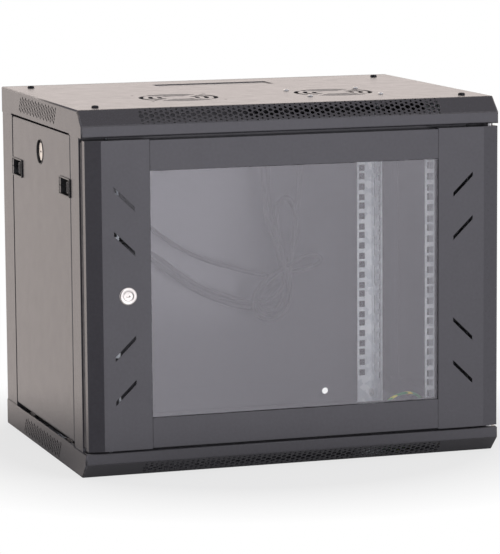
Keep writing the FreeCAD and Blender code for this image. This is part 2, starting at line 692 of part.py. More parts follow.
def door_stile(name, side):
    part = new_body("door_stile_" + name)
    edge, sheet = "door_edge_x", "door_sheet"
    face, back = "-door_front_y", "-door_back_y"
    made = sketch(part, "XY", DOOR_LOW)
    outline(made, [(f"{side}*({x})", y) for x, y in (
        ("glass_half", SEAL_FRONT), ("glass_half", face), ("door_bevel_x", face),
        (edge, "-door_bevel_y"), (edge, back), (f"glass_half + {sheet}", back),
        (f"glass_half + {sheet}", SEAL_FRONT))])
    pad(made, f"{DOOR_HIGH} - {DOOR_LOW}")
    hollow = sketch(part, "XY", f"{DOOR_LOW} + {sheet}")
    outline(hollow, [(f"{side}*({x})", y) for x, y in (
        (f"glass_half + {sheet}", f"{back} + {sheet}"),
        (f"glass_half + {sheet}", f"{face} + {sheet}"),
        ("door_bevel_x", f"{face} + {sheet}"), (f"{edge} - {sheet}", f"-door_bevel_y + {sheet}"),
        (f"{edge} - {sheet}", f"{back} + {sheet}"))])
    pocket(hollow, f"{DOOR_HIGH} - {DOOR_LOW} - 2*{sheet}", 1)
    # Slanted grip slots: the upper pairs rise outward, the lower pairs fall outward.
    slots = sketch(part, "XZ", face)
    for half in (-1, 1):
        for offset in ("grip_far_z", "grip_near_z"):
            middle = f"(cab_height/2 + {half}*{offset})"
            inner, outer = "(grip_x - grip_run/2)", "(grip_x + grip_run/2)"
            low, high = f"{middle} - {half}*grip_rise/2", f"{middle} + {half}*grip_rise/2"
            outline(slots, [(f"{side}*{inner}", f"{low} - grip_end/2"),
                            (f"{side}*{outer}", f"{high} - grip_end/2"),
                            (f"{side}*{outer}", f"{high} + grip_end/2"),
                            (f"{side}*{inner}", f"{low} + grip_end/2")])
    pocket(slots, sheet, 1)
    if side < 0:
        lock_hole = sketch(part, "XZ", face)
        circle(lock_hole, "-lock_x", "cab_height/2", "lock_barrel + bolt_gap")
        pocket(lock_hole, sheet, 1)
    else:
        for level, along in ((DOOR_LOW, 1), (DOOR_HIGH, -1)):
            pin_hole = sketch(part, "XY", level)
            circle(pin_hole, "hinge_x", "-hinge_y", "pin_radius + shaft_gap")
            pocket(pin_hole, sheet, along)


def door_rail(label, top):
    """Cross rail of the door, a step shorter than the stiles at its outer edge."""
    part = new_body(label)
    def level(text):
        return f"cab_height - ({text})" if top else text
    outer, inner = f"{DOOR_LOW} + rail_step", "cab_height/2 - glass_rise"
    face, back, sheet = "-door_front_y", "-door_back_y", "door_sheet"
    made = sketch(part, "YZ")
    outline(made, [(y, level(z)) for y, z in (
        (SEAL_FRONT, inner), (face, inner), (face, outer), (back, outer),
        (back, f"{inner} - {sheet}"), (SEAL_FRONT, f"{inner} - {sheet}"))])
    pad(made, "2*(glass_half - seam_gap)", 0)
    hollow = sketch(part, "YZ")
    outline(hollow, [(y, level(z)) for y, z in (
        (f"{back} + {sheet}", f"{inner} - {sheet}"), (f"{face} + {sheet}", f"{inner} - {sheet}"),
        (f"{face} + {sheet}", f"{outer} + {sheet}"), (f"{back} + {sheet}", f"{outer} + {sheet}"))])
    pocket(hollow, "2*glass_half", 0)


def door_glass():
    part = new_body("door_glass")
    made = sketch(part, "XZ", "-glass_front_y")
    box_loop(made, "-glass_half - glass_overlap", "glass_half + glass_overlap",
             "cab_height/2 - glass_rise - glass_overlap", "cab_height/2 + glass_rise + glass_overlap")
    pad(made, "glass_thick", 1)
    seal = new_body("glass_seal")
    made = sketch(seal, "XZ", SEAL_FRONT)
    for out in ("glass_overlap", "-seal_show"):
        box_loop(made, f"-glass_half - {out}", f"glass_half + {out}",
                 f"cab_height/2 - glass_rise - {out}", f"cab_height/2 + glass_rise + {out}")
    pad(made, "seal_thick", 1)


def glass_clips():
    """Folded clips: a leg against the inside of the frame, a foot behind the glass."""
    solids = []
    leg_front = val("-door_front_y + door_sheet")
    foot_back = val("-glass_front_y + glass_thick + clip_sheet")
    reach, sheet, length = val("clip_reach"), val("clip_sheet"), val("clip_length")
    clear = val("seat_gap")
    for edge, across in ((val("glass_half + glass_overlap"), False),
                         (val("glass_rise + glass_overlap"), True)):
        for side in (-1, 1):
            for end in (-1, 1):
                leg = Part.makeBox(sheet, foot_back - leg_front, length,
                                   Vector(edge + clear, leg_front, 0))
                foot = Part.makeBox(reach + sheet + clear, sheet, length,
                                    Vector(edge - reach, foot_back - sheet, 0))
                clip = leg.fuse(foot).removeSplitter()
                clip.translate(Vector(0, 0, end * val("clip_spacing") / 2 - length / 2))
                if side < 0:
                    clip.rotate(Vector(), Vector(0, 1, 0), 180)
                if across:
                    clip.rotate(Vector(), Vector(0, 1, 0), -90)
                clip.translate(Vector(0, 0, val("cab_height/2")))
                solids.append(clip)
    group = doc.addObject("Part::Feature", "glass_clips")
    group.Shape = Part.makeCompound(solids)
    group.Label = "glass_clips"


for side_name, side_sign in SIDES.items():
    door_stile(side_name, side_sign)
door_rail("door_rail_bottom", False)
door_rail("door_rail_top", True)
door_glass()
glass_clips()


# Door lock: bezel and barrel, nut, and a plug that turns the cam behind the left post.

LOCK_BACK = "(-door_back_y + lock_bezel_proud*2)"
CAM_FRONT = "(-post_front_y + frame_sheet + cam_gap)"


def disc(part, level, radius, length, along=1, centre=("-lock_x", "cab_height/2")):
    made = sketch(part, "XZ", level)
    circle(made, centre[0], centre[1], radius)
    return pad(made, length, along)


def door_lock():
    housing = new_body("door_lock_body")
    disc(housing, "-door_front_y", "lock_bezel", "lock_bezel_proud", -1)
    disc(housing, "-door_front_y", "lock_barrel", f"{LOCK_BACK} + door_front_y")
    bore = sketch(housing, "XZ", "-door_front_y - lock_bezel_proud")
    circle(bore, "-lock_x", "cab_height/2", "lock_plug + shaft_gap")
    pocket(bore, f"{LOCK_BACK} + door_front_y + lock_bezel_proud", 1)

    nut = new_body("door_lock_nut")
    made = sketch(nut, "XZ", "-door_front_y + door_sheet")
    outline(made, [(f"-lock_x + lock_nut*cos({60*k} deg)",
                    f"cab_height/2 + lock_nut*sin({60*k} deg)") for k in range(6)])
    circle(made, "-lock_x", "cab_height/2", "lock_barrel + shaft_gap")
    pad(made, "lock_nut_height", 1)

    plug = new_body("door_lock_plug")
    disc(plug, "-door_front_y - lock_bezel_proud", "lock_plug",
         f"{LOCK_BACK} + door_front_y + lock_bezel_proud")
    disc(plug, LOCK_BACK, "lock_stem", f"{CAM_FRONT} + cam_sheet - {LOCK_BACK}")
    key = sketch(plug, "XZ", "-door_front_y - lock_bezel_proud")
    box_loop(key, "-lock_x - key_length/2", "-lock_x + key_length/2",
             "cab_height/2 - key_width/2", "cab_height/2 + key_width/2")
    pocket(key, "key_depth", 1)

    cam = new_body("door_lock_cam")
    made = sketch(cam, "XZ", CAM_FRONT)
    low, high = "cab_height/2", "(cab_height/2 + cam_reach)"
    outline(made, [("-lock_x + cam_width/2", low), ("-lock_x + cam_width/2", high),
                   ("-lock_x - cam_width/2", high), ("-lock_x - cam_width/2", low)],
            {3: ("half", 1)})
    circle(made, "-lock_x", "cab_height/2", "lock_stem + shaft_gap/2")
    pad(made, "cam_sheet", 1)


door_lock()


# Door hinge: two pins on one axis. The upper one draws down to free the door.

PIN_TOP = f"(cab_height - {COVER_HEIGHT} + cover_sheet + pin_over)"
PIN_FOOT = f"({COVER_HEIGHT} - cover_sheet - pin_over)"
HINGE = ("hinge_x", "-hinge_y")


def round_pad(part, level, radius, length, along=1, centre=HINGE):
    made = sketch(part, "XY", level)
    circle(made, centre[0], centre[1], radius)
    return pad(made, length, along)


def hinge_bracket(label, top):
    """Channel on the inside of the right stile, with a bored ear at each end."""
    part = new_body(label)
    outer = "(door_edge_x - door_sheet)"
    start = f"{DOOR_HIGH} - door_sheet" if top else f"{DOOR_LOW} + door_sheet"
    along = -1 if top else 1
    made = sketch(part, "XY", start)
    box_loop(made, f"{outer} - bracket_arm", outer, "-hinge_y - bracket_width/2",
             "-hinge_y + bracket_width/2")
    pad(made, "bracket_height", along)
    gap = sketch(part, "XY", f"{start} + {along}*ear_height")
    box_loop(gap, f"{outer} - bracket_arm", f"{outer} - frame_sheet",
             "-hinge_y - bracket_width/2", "-hinge_y + bracket_width/2")
    pocket(gap, "bracket_height - 2*ear_height", along)
    bore = sketch(part, "XY", start)
    circle(bore, HINGE[0], HINGE[1], "pin_radius + shaft_gap")
    pocket(bore, "bracket_height", along)


def hinge_pins():
    upper = new_body("hinge_pin_upper")
    round_pad(upper, PIN_TOP, "pin_radius", "pin_length", -1)
    ear = f"({DOOR_HIGH} - door_sheet - ear_height)"
    round_pad(upper, f"{ear} - seat_gap", "pin_collar - 1", "collar_height/2", -1)
    lever = sketch(upper, "YZ", "hinge_x")
    circle(lever, "-hinge_y", f"{PIN_TOP} - pin_length + lever_radius", "lever_radius")
    pad(lever, "lever_length", -1)

    lower = new_body("hinge_pin_lower")
    round_pad(lower, PIN_FOOT, "pin_radius",
              f"{DOOR_LOW} + door_sheet + bracket_height - {PIN_FOOT}")
    round_pad(lower, f"{COVER_HEIGHT} + seat_gap", "pin_collar", "door_gap - seat_gap")


hinge_bracket("hinge_bracket_upper", True)
hinge_bracket("hinge_bracket_lower", False)
hinge_pins()


# Side panels: shallow trays that hook in at the bottom and tilt out, with a lock and two latches.

def side_panel(name, side):
    part = new_body("side_panel_" + name)
    made = sketch(part, "YZ", f"{side}*{INNER_X}")
    box_loop(made, "-panel_front_y", "panel_rear_y", "panel_low_z", PANEL_HIGH)
    pad(made, "panel_flange", -side)
    hollow = sketch(part, "YZ", f"{side}*({INNER_X} - panel_sheet)")
    box_loop(hollow, "-panel_front_y + panel_sheet", "panel_rear_y - panel_sheet",
             "panel_low_z + panel_sheet", f"{PANEL_HIGH} - panel_sheet")
    pocket(hollow, "panel_flange", -side)
    for middle in ("-tab_y", "tab_y"):
        tab = sketch(part, "YZ", f"{side}*({INNER_X} - seat_gap)")
        box_loop(tab, f"{middle} - tab_length/2", f"{middle} + tab_length/2",
                 "panel_low_z - tab_drop", "panel_low_z + panel_sheet")
        pad(tab, "tab_sheet", -side)
    holes = sketch(part, "YZ", f"{side}*{INNER_X}")
    circle(holes, "side_lock_y", "side_lock_z", "cup_radius + panel_sheet")
    for middle in ("-latch_front_y", "latch_rear_y"):
        box_loop(holes, f"{middle} - {LATCH_CUT}/2", f"{middle} + {LATCH_CUT}/2",
                 "latch_z - latch_height/2 + latch_hold", "latch_z + latch_height/2 - latch_hold")
    pocket(holes, "panel_sheet", -side)


LATCH_CUT = "(latch_length - 2*latch_hold)"
CUP_FACE = f"({INNER_X} + cup_proud)"
CUP_FLOOR = f"({INNER_X} - cup_depth)"
SIDE_CAM = "(beam_outer_x - frame_sheet - seat_gap)"


def side_disc(part, side, level, radius, length, along):
    made = sketch(part, "YZ", f"{side}*{level}")
    circle(made, "side_lock_y", "side_lock_z", radius)
    return pad(made, length, along)


def side_lock(name, side):
    cup = new_body("side_lock_cup_" + name)
    side_disc(cup, side, INNER_X, "cup_flange", "cup_proud", side)
    side_disc(cup, side, INNER_X, "cup_radius + panel_sheet - bolt_gap",
              "cup_depth + panel_sheet", -side)
    for level, radius, length in (
            (CUP_FACE, "cup_radius", "cup_depth + cup_proud"),
            (CUP_FLOOR, "side_barrel + shaft_gap", "2*panel_sheet")):
        made = sketch(cup, "YZ", f"{side}*{level}")
        circle(made, "side_lock_y", "side_lock_z", radius)
        pocket(made, length, -side)

    plug = new_body("side_lock_plug_" + name)
    side_disc(plug, side, f"({CUP_FLOOR} + seat_gap)", "side_plug", "side_plug_proud", side)
    side_disc(plug, side, f"({CUP_FLOOR} + seat_gap)", "side_barrel",
              f"{CUP_FLOOR} + seat_gap - {SIDE_CAM} + cam_sheet", -side)
    key = sketch(plug, "YZ", f"{side}*({CUP_FLOOR} + seat_gap + side_plug_proud)")
    box_loop(key, "side_lock_y - key_length/2", "side_lock_y + key_length/2",
             "side_lock_z - key_width/2", "side_lock_z + key_width/2")
    pocket(key, "side_plug_proud/2", -side)
    # Cam, released: it points to the rear and turns up behind the keeper lip.
    cam = sketch(plug, "YZ", f"{side}*{SIDE_CAM}")
    far = "(side_lock_y + side_cam_reach)"
    outline(cam, [(far, "side_lock_z + cam_width/2"), ("side_lock_y", "side_lock_z + cam_width/2"),
                  ("side_lock_y", "side_lock_z - cam_width/2"),
                  (far, "side_lock_z - cam_width/2")], {1: ("half", 1)})
    pad(cam, "cam_sheet", -side)


def latch(name, side, end):
    """Moulded housing with a finger pocket, and a sliding bolt with its thumb block."""
    way = -1 if end == "front" else 1
    middle = "-latch_front_y" if end == "front" else "latch_rear_y"
    edge = "-panel_front_y" if end == "front" else "panel_rear_y"
    low = f"({middle} - latch_length/2 + latch_frame)"
    high = f"({middle} + latch_length/2 - latch_frame)"
    inside_z = "(latch_height/2 - latch_frame)"

    housing = new_body(f"latch_housing_{name}_{end}")
    bezel = sketch(housing, "YZ", f"{side}*{INNER_X}")
    box_loop(bezel, f"{middle} - latch_length/2", f"{middle} + latch_length/2",
             "latch_z - latch_height/2", "latch_z + latch_height/2")
    pad(bezel, "latch_proud", side)
    block = sketch(housing, "YZ", f"{side}*{INNER_X}")
    box_loop(block, f"{middle} - {LATCH_CUT}/2 + bolt_gap", f"{middle} + {LATCH_CUT}/2 - bolt_gap",
             "latch_z - latch_height/2 + latch_hold + bolt_gap",
             "latch_z + latch_height/2 - latch_hold - bolt_gap")
    pad(block, "latch_depth", -side)
    room = sketch(housing, "YZ", f"{side}*({INNER_X} + latch_proud)")
    box_loop(room, low, high, f"latch_z - {inside_z}", f"latch_z + {inside_z}")
    pocket(room, "latch_proud + latch_depth", -side)

    slider = new_body(f"latch_slider_{name}_{end}")
    # The thumb block starts one travel short of the end that it slides to.
    clear = f"{LATCH_TRAVEL} + seat_gap"
    start = f"({low} + {clear})" if way < 0 else f"({high} - thumb_rear_room - thumb_length)"
    thumb = sketch(slider, "YZ", f"{side}*({INNER_X} + latch_proud/2)")
    box_loop(thumb, start, f"{start} + thumb_length", f"latch_z - {inside_z} + seat_gap",
             f"latch_z + {inside_z} - seat_gap")
    pad(thumb, f"{INNER_X} + latch_proud/2 - {BOLT_FACE}", -side)
    bolt = sketch(slider, "YZ", f"{side}*{BOLT_FACE}")
    tip = f"({edge} - {way}*seat_gap)"
    tail = f"({start} + thumb_length)" if way < 0 else start
    ends = (tip, tail) if way < 0 else (tail, tip)
    box_loop(bolt, ends[0], ends[1], "latch_z - bolt_height/2", "latch_z + bolt_height/2")
    pad(bolt, "bolt_sheet", -side)


LATCH_TRAVEL = "(return_front_y - panel_rear_y + back_sheet + 2)"
BOLT_FACE = f"({INNER_X} - post_lip - seat_gap)"

for side_name, side_sign in SIDES.items():
    side_panel(side_name, side_sign)
    side_lock(side_name, side_sign)
    for end in ("front", "rear"):
        latch(side_name, side_sign, end)


# Cords. Each route is a list of points chosen by hand; the corners are rounded by tangent arcs.

def tube(label, points, radius):
    """Six-sided tube along straight runs joined by tangent arcs."""
    route = [Vector(*point) for point in points]
    edges, radii, start = [], [], route[0]
    for before, corner, after in zip(route, route[1:], route[2:]):
        into, out = (corner - before).normalize(), (after - corner).normalize()
        half_turn = into.getAngle(out) / 2
        shorter = min((corner - before).Length, (after - corner).Length)
        reach = 0.45 * shorter
        bend = reach / math.tan(half_turn)
        middle = (out - into).normalize()
        enter, leave = corner - into * reach, corner + out * reach
        crest = corner + middle * (bend / math.cos(half_turn) - bend)
        edges.append(Part.LineSegment(start, enter).toShape())
        edges.append(Part.Arc(enter, crest, leave).toShape())
        radii.append(bend)
        start = leave
    edges.append(Part.LineSegment(start, route[-1]).toShape())
    path = Part.Wire(edges)
    ring = Part.makePolygon([Vector(radius * math.cos(k * math.pi / 3),
                                    radius * math.sin(k * math.pi / 3), 0) for k in range(7)])
    ring.Placement = Placement(route[0], Rotation(Vector(0, 0, 1), route[1] - route[0]))
    solid = path.makePipeShell([ring], True, True)
    swept = 1.5 * math.sqrt(3) * radius**2 * path.Length
    print(f"{label}: {path.Length:.0f} mm long, tightest bend {min(radii):.0f} mm, "
          f"volume ratio {solid.Volume / swept:.4f}")
    made = doc.addObject("Part::Feature", label)
    made.Shape = solid
    made.Label = label


# Fan cord: from the fan's terminal along the top, then down to the tied hank.
tube("fan_cord_feed", (
    (150, 0, 487), (150, 22, 487), (146, 62, 485), (134, 104, 484), (118, 142, 484),
    (103, 168, 479), (93, 181, 463), (89, 185, 436), (88, 186, 392), (90, 186, 340),
    (95, 185, 290), (108, 185, 250)), val("cord_radius"))
# A bight that rises from the hank, turns over and comes down again.
tube("fan_cord_bight", (
    (112, 185, 262), (101, 185, 300), (97, 185, 344), (97, 185, 388), (98, 185, 416),
    (99, 185, 438), (106, 184, 455), (123, 184, 462), (140, 184, 455), (147, 185, 438),
    (149, 185, 416), (149, 185, 388),
    (148, 185, 346), (144, 185, 304), (137, 185, 268)), val("cord_radius"))
# One strand goes out towards the left rail, turns round and comes back.
tube("fan_cord_tail", (
    (92, 184, 206), (50, 184, 218), (-12, 183, 237), (-64, 181, 268), (-104, 178, 302),
    (-140, 175, 326), (-172, 172, 326), (-184, 170, 300), (-164, 172, 274),
    (-122, 176, 268), (-82, 180, 248), (-43, 183, 216), (-4, 184, 190), (50, 184, 170),
    (86, 184, 166)), val("cord_radius"))
# The other goes out below it, up behind the rail, over, and down to the plug.
tube("fan_cord_end", (
    (86, 191, 156), (50, 191, 160), (-4, 191, 181), (-43, 191, 206), (-82, 191, 238),
    (-122, 190, 266), (-160, 186, 294), (-192, 178, 324), (-214, 167, 352),
    (-226, 160, 386), (-230, 158, 416), (-230, 158, 440), (-223, 159, 456), (-208, 162, 463),
    (-193, 165, 456), (-186, 167, 440), (-187, 167, 421), (-186, 167, 404)), val("cord_radius"))


def hank():
    """Outer shape of the tied hank."""
    part = new_body("fan_cord_hank")
    made = sketch(part, "XZ", "hank_front_y")
    outline(made, [(str(x), str(z)) for x, z in (
        (84, 134), (116, 134), (128, 150), (138, 196), (176, 216), (190, 226), (186, 238),
        (150, 240), (142, 262), (150, 306), (140, 330), (112, 334), (102, 316), (108, 268),
        (100, 236), (70, 190), (62, 156))])
    pad(made, "hank_thick", 1)


def cord_clips():
    """A saddle behind the left rail and two drop clips under the top sheet."""
    def block(low, high):
        return Part.makeBox(*(high - low), low)
    back, top = val("rail_rear_y"), val(TOP_INSIDE)
    saddle = block(Vector(-241, back, 376), Vector(-216, back + 18, 384))
    feed_clip = block(Vector(98, 164, 474), Vector(112, 172, top))
    bight_clip = block(Vector(119, 178, 456), Vector(127, 190, top))
    group = doc.addObject("Part::Feature", "cord_clips")
    group.Shape = Part.makeCompound([saddle, feed_clip, bight_clip])
    group.Label = "cord_clips"


def fan_plug():
    """Mains plug body with two round pins, hanging by its cord."""
    part = new_body("fan_plug")
    relief = sketch(part, "XY", "404")
    circle(relief, "-186", "167", "cord_radius + 2")
    pad(relief, "16", -1)
    grip = sketch(part, "XY", "392")
    box_loop(grip, "-199", "-173", "157", "177")
    pad(grip, "34", -1)
    pins = sketch(part, "XY", "358")
    for x in ("-195.5", "-176.5"):
        circle(pins, x, "167", "2.4")
    pad(pins, "19", -1)


hank()
cord_clips()
fan_plug()

# Earth wire from a stud on the floor, over the right beam, to a stud on its shelf.
tube("earth_wire", (
    (212, 0, 6.2), (212.5, 0, 19), (218, 0, 31), (230, 0, 40), (246, 0, 44.5),
    (260, 0, 44), (271, 0, 40.5)), val("wire_radius"))
fasteners("earth_studs", "Z", [(place, [("hex", "nut_radius", start, "nut_height")])
                               for place, start in ((("212", "0"), "cover_sheet"),
                                                    (("279", "0"), "beam_high"))])


# Checks and output.

def check_and_export():
    doc.recompute()
    for item in doc.Objects:
        bad = {"Invalid", "Error"} & set(item.State)
        if bad:
            raise RuntimeError(f"{item.Name} failed: {item.State}")
    used = {piece for item in doc.Objects if item.TypeId == "Part::MultiFuse"
            for piece in item.Shapes}
    kinds = ("PartDesign::Body", "Part::MultiFuse", "Part::Feature")
    for item in doc.Objects:
        if item.TypeId == "PartDesign::Body":
            volume = 0
            for feature in item.Group:
                if not feature.isDerivedFrom("PartDesign::Feature"):
                    continue
                if feature.TypeId == "PartDesign::Pocket" and feature.Shape.Volume >= volume:
                    raise RuntimeError(f"{feature.Name} cuts nothing")
                volume = feature.Shape.Volume
        if item.TypeId not in kinds or item in used:
            continue
        shape = item.Shape
        if shape.isNull() or not shape.isValid():
            raise RuntimeError(f"{item.Label} has no valid shape")
        shape.exportStep(os.path.join("parts", item.Label + ".step"))
        print(f"{item.Label}: {len(shape.Solids)} solid(s), {shape.Volume:.0f} mm3")


check_and_export()
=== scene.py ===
import json
import math

import bmesh
import bpy
from mathutils import Matrix, Vector


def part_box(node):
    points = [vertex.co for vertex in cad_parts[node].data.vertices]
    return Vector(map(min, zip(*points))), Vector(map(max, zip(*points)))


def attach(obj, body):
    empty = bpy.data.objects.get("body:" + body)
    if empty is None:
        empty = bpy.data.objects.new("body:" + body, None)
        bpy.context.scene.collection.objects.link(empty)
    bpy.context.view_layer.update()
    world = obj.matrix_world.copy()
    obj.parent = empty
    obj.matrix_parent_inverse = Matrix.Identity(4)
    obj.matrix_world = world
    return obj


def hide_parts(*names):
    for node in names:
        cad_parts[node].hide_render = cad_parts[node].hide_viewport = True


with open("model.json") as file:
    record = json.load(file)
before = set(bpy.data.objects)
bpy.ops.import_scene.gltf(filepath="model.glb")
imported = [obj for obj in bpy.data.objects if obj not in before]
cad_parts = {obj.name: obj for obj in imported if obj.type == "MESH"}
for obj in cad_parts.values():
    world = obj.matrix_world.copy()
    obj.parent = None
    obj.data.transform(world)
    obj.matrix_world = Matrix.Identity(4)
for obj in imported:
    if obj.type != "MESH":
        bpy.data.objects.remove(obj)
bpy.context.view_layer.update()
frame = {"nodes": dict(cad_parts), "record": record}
nodes = frame["nodes"]
scene = bpy.context.scene
scene.view_settings.view_transform = "Standard"
MM = 0.001
X, Y, Z = Vector((1, 0, 0)), Vector((0, 1, 0)), Vector((0, 0, 1))
SIDES = (("left", -1), ("right", 1))


# Camera at the photograph's place.

YAW, PITCH, ROLL = 0.3130, 0.1410, -0.0075
CAMERA_PLACE = (-1.36753, -4.25014, 0.86742)
SENSOR, LENS = 36, 225.612
ahead = Vector((math.sin(YAW) * math.cos(PITCH), math.cos(YAW) * math.cos(PITCH),
                -math.sin(PITCH)))
right = Vector((math.cos(YAW), -math.sin(YAW), 0))
up = right.cross(ahead)
camera_x = right * math.cos(ROLL) + up * math.sin(ROLL)
camera_y = up * math.cos(ROLL) - right * math.sin(ROLL)
camera = bpy.data.objects.new("camera", bpy.data.cameras.new("camera"))
camera.data.sensor_fit = "HORIZONTAL"
camera.data.sensor_width = SENSOR
camera.data.lens = LENS
camera.data.clip_end = 100
turn = Matrix((camera_x, camera_y, -ahead)).transposed().to_4x4()
camera.matrix_world = Matrix.Translation(CAMERA_PLACE) @ turn
scene.collection.objects.link(camera)
scene.camera = camera


# Materials.

class Nodes:
    """The node tree of a material or world, with short calls for the nodes used here."""

    def __init__(self, owner):
        owner.use_nodes = True
        self.material = owner
        self.tree = owner.node_tree
        self.shader = self.tree.nodes.get("Principled BSDF")

    def add(self, kind, inputs=None, **settings):
        made = self.tree.nodes.new("ShaderNode" + kind)
        for key, value in settings.items():
            setattr(made, key, value)
        for key, value in (inputs or {}).items():
            self.put(made, key, value)
        return made

    def put(self, node, key, value):
        if isinstance(value, bpy.types.NodeSocket):
            self.tree.links.new(value, node.inputs[key])
        else:
            node.inputs[key].default_value = value

    def place(self):
        """Coordinates that stay with the piece as it moves."""
        return self.add("TexCoord").outputs["Object"]

    def noise(self, scale, detail=3.0, where=None, roughness=0.5):
        return self.add("TexNoise", {"Vector": where or self.place(), "Scale": scale,
                                     "Detail": detail, "Roughness": roughness}).outputs["Fac"]

    def ramp(self, value, low, high, start=0.3, stop=0.7, **settings):
        """Low where value is start or less, high from stop on."""
        made = self.add("MapRange", {"Value": value, "From Min": start, "From Max": stop,
                                     "To Min": low, "To Max": high}, **settings)
        return made.outputs["Result"]

    def maths(self, operation, first, second=0.0):
        return self.add("Math", {0: first, 1: second}, operation=operation).outputs[0]

    def mix(self, factor, first, second):
        made = self.add("Mix", data_type="RGBA")
        self.put(made, 0, factor)
        for key, colour in ((6, first), (7, second)):
            self.put(made, key, colour if isinstance(colour, bpy.types.NodeSocket)
                     else (*colour, 1))
        return made.outputs[2]

    def bump(self, height, strength, distance, round_edge=0.0):
        inputs = {"Height": height, "Strength": strength, "Distance": distance}
        if round_edge:
            bevel = self.add("Bevel", {"Radius": round_edge}, samples=4)
            inputs["Normal"] = bevel.outputs["Normal"]
        self.set(Normal=self.add("Bump", inputs).outputs["Normal"])

    def set(self, **values):
        for key, value in values.items():
            name = key.replace("_", " ")
            if isinstance(value, tuple) and len(value) == 3:
                value = (*value, 1)
            self.put(self.shader, name, value)

    def finish(self, node, output):
        self.tree.links.new(node.outputs[0], self.tree.nodes[output].inputs["Surface"])

    def painted_edge_highlight(self, radius=0.0006):
        """Mask of the painted edge highlight: 1 along sharp edges, 0 elsewhere."""
        bevel = self.add("Bevel", {"Radius": radius}, samples=4)
        face = self.add("NewGeometry").outputs["Normal"]
        dot = self.add("VectorMath", operation="DOT_PRODUCT")
        self.put(dot, 0, bevel.outputs["Normal"])
        self.put(dot, 1, face)
        return self.ramp(dot.outputs["Value"], 1, 0, 0.93, 0.995)


def powder_coat(name, dark, light, rough=(0.235, 0.265)):
    """Satin powder coat: fine orange peel, faint mottling and a painted highlight along sharp
    edges.
    """
    made = Nodes(bpy.data.materials.new(name))
    mottle = made.noise(240, 4)
    fine = made.noise(900, 2)
    colour = made.mix(made.ramp(mottle, 0, 1), dark, light)
    # Base colour lightened toward grey along sharp edges: a painted highlight.
    made.set(Base_Color=made.mix(made.ramp(made.painted_edge_highlight(), 0, 0.35, 0, 1), colour,
                                 (0.16, 0.16, 0.165)),
             Roughness=made.ramp(made.noise(40, 3), *rough))
    made.shader.inputs["IOR"].default_value = 1.65
    made.bump(fine, 0.12, 0.0003, 0.0009)
    return made.material


def metal(name, dark, light, rough, spangle=0.0, edge=0.0005, metallic=1.0):
    """Bare or plated metal, with zinc spangle where its scale is given."""
    made = Nodes(bpy.data.materials.new(name))
    if spangle:
        cells = made.add("TexVoronoi", {"Vector": made.place(), "Scale": spangle})
        shade = made.add("SeparateColor", {"Color": cells.outputs["Color"]}).outputs[0]
        grain = made.ramp(shade, 0, 1, 0.1, 0.9)
    else:
        grain = made.ramp(made.noise(220, 4), 0, 1)
    made.set(Base_Color=made.mix(grain, dark, light),
             Roughness=made.ramp(made.noise(90, 4), *rough))
    made.shader.inputs["Metallic"].default_value = metallic
    made.bump(made.noise(600, 3), 0.1, 0.0002, edge)
    return made.material


def moulded(name, dark, light, rough, grain=1400, strength=0.2, edge=0.0005):
    """Plastic, rubber or foam with a fine grain."""
    made = Nodes(bpy.data.materials.new(name))
    made.set(Base_Color=made.mix(made.ramp(made.noise(60, 3), 0, 1), dark, light),
             Roughness=made.ramp(made.noise(160, 2), *rough))
    made.bump(made.noise(grain, 2), strength, 0.0002, edge)
    return made.material


def clear_glass():
    """Each face of the pane mirrors a little and lets the rest straight through."""
    made = Nodes(bpy.data.materials.new("tempered_glass"))
    smear = made.noise(5, 5)
    made.set(Base_Color=made.mix(made.ramp(smear, 0, 1), (0.93, 0.92, 0.93),
                                 (0.98, 0.97, 0.98)))
    made.shader.inputs["Roughness"].default_value = 0.0
    made.shader.inputs["Metallic"].default_value = 1.0
    made.shader.inputs["Alpha"].default_value = 0.07
    return made.material


def striped_wire():
    """Earth wire: green insulation with a yellow stripe that winds along it."""
    made = Nodes(bpy.data.materials.new("earth_insulation"))
    parts = made.add("SeparateXYZ", {"Vector": made.place()})
    run = made.maths("MULTIPLY", parts.outputs["X"], 260.0)
    across = made.maths("MULTIPLY", parts.outputs["Y"], 900.0)
    wave = made.maths("SINE", made.maths("ADD", run, across))
    stripe = made.ramp(wave, 0, 1, 0.5, 0.65)
    made.set(Base_Color=made.mix(stripe, (0.02, 0.30, 0.06), (0.85, 0.75, 0.04)),
             Roughness=made.ramp(made.noise(300, 2), 0.35, 0.5))
    made.bump(made.noise(900, 2), 0.1, 0.0002)
    return made.material


COAT = powder_coat("black_powder_coat", (0.022, 0.021, 0.0245), (0.026, 0.025, 0.0295))
ZINC_SHEET = metal("galvanised_steel", (0.66, 0.70, 0.74), (0.86, 0.89, 0.92), (0.35, 0.5), 110,
                   metallic=0.3)
BRIGHT_ZINC = metal("bright_zinc", (0.62, 0.62, 0.60), (0.82, 0.82, 0.80), (0.22, 0.38))
NICKEL = metal("nickel_plate", (0.68, 0.65, 0.59), (0.78, 0.75, 0.69), (0.12, 0.24))
BLACK_ZINC = metal("black_zinc", (0.02, 0.02, 0.022), (0.05, 0.05, 0.055), (0.30, 0.42))
GLASS = clear_glass()
RUBBER = moulded("seal_rubber", (0.012, 0.012, 0.012), (0.022, 0.022, 0.022), (0.7, 0.85))
CORD_BLACK = moulded("cord_sheath", (0.010, 0.010, 0.010), (0.020, 0.020, 0.021),
                     (0.38, 0.55), 1800, 0.15, 0)
PLASTIC = moulded("black_plastic", (0.014, 0.014, 0.015), (0.022, 0.022, 0.023), (0.24, 0.32),
                  1400, 0.06)
STRIPED = striped_wire()
FOAM = moulded("gasket_foam", (0.035, 0.034, 0.037), (0.06, 0.058, 0.062), (0.5, 0.7),
               2500, 0.3, 0)

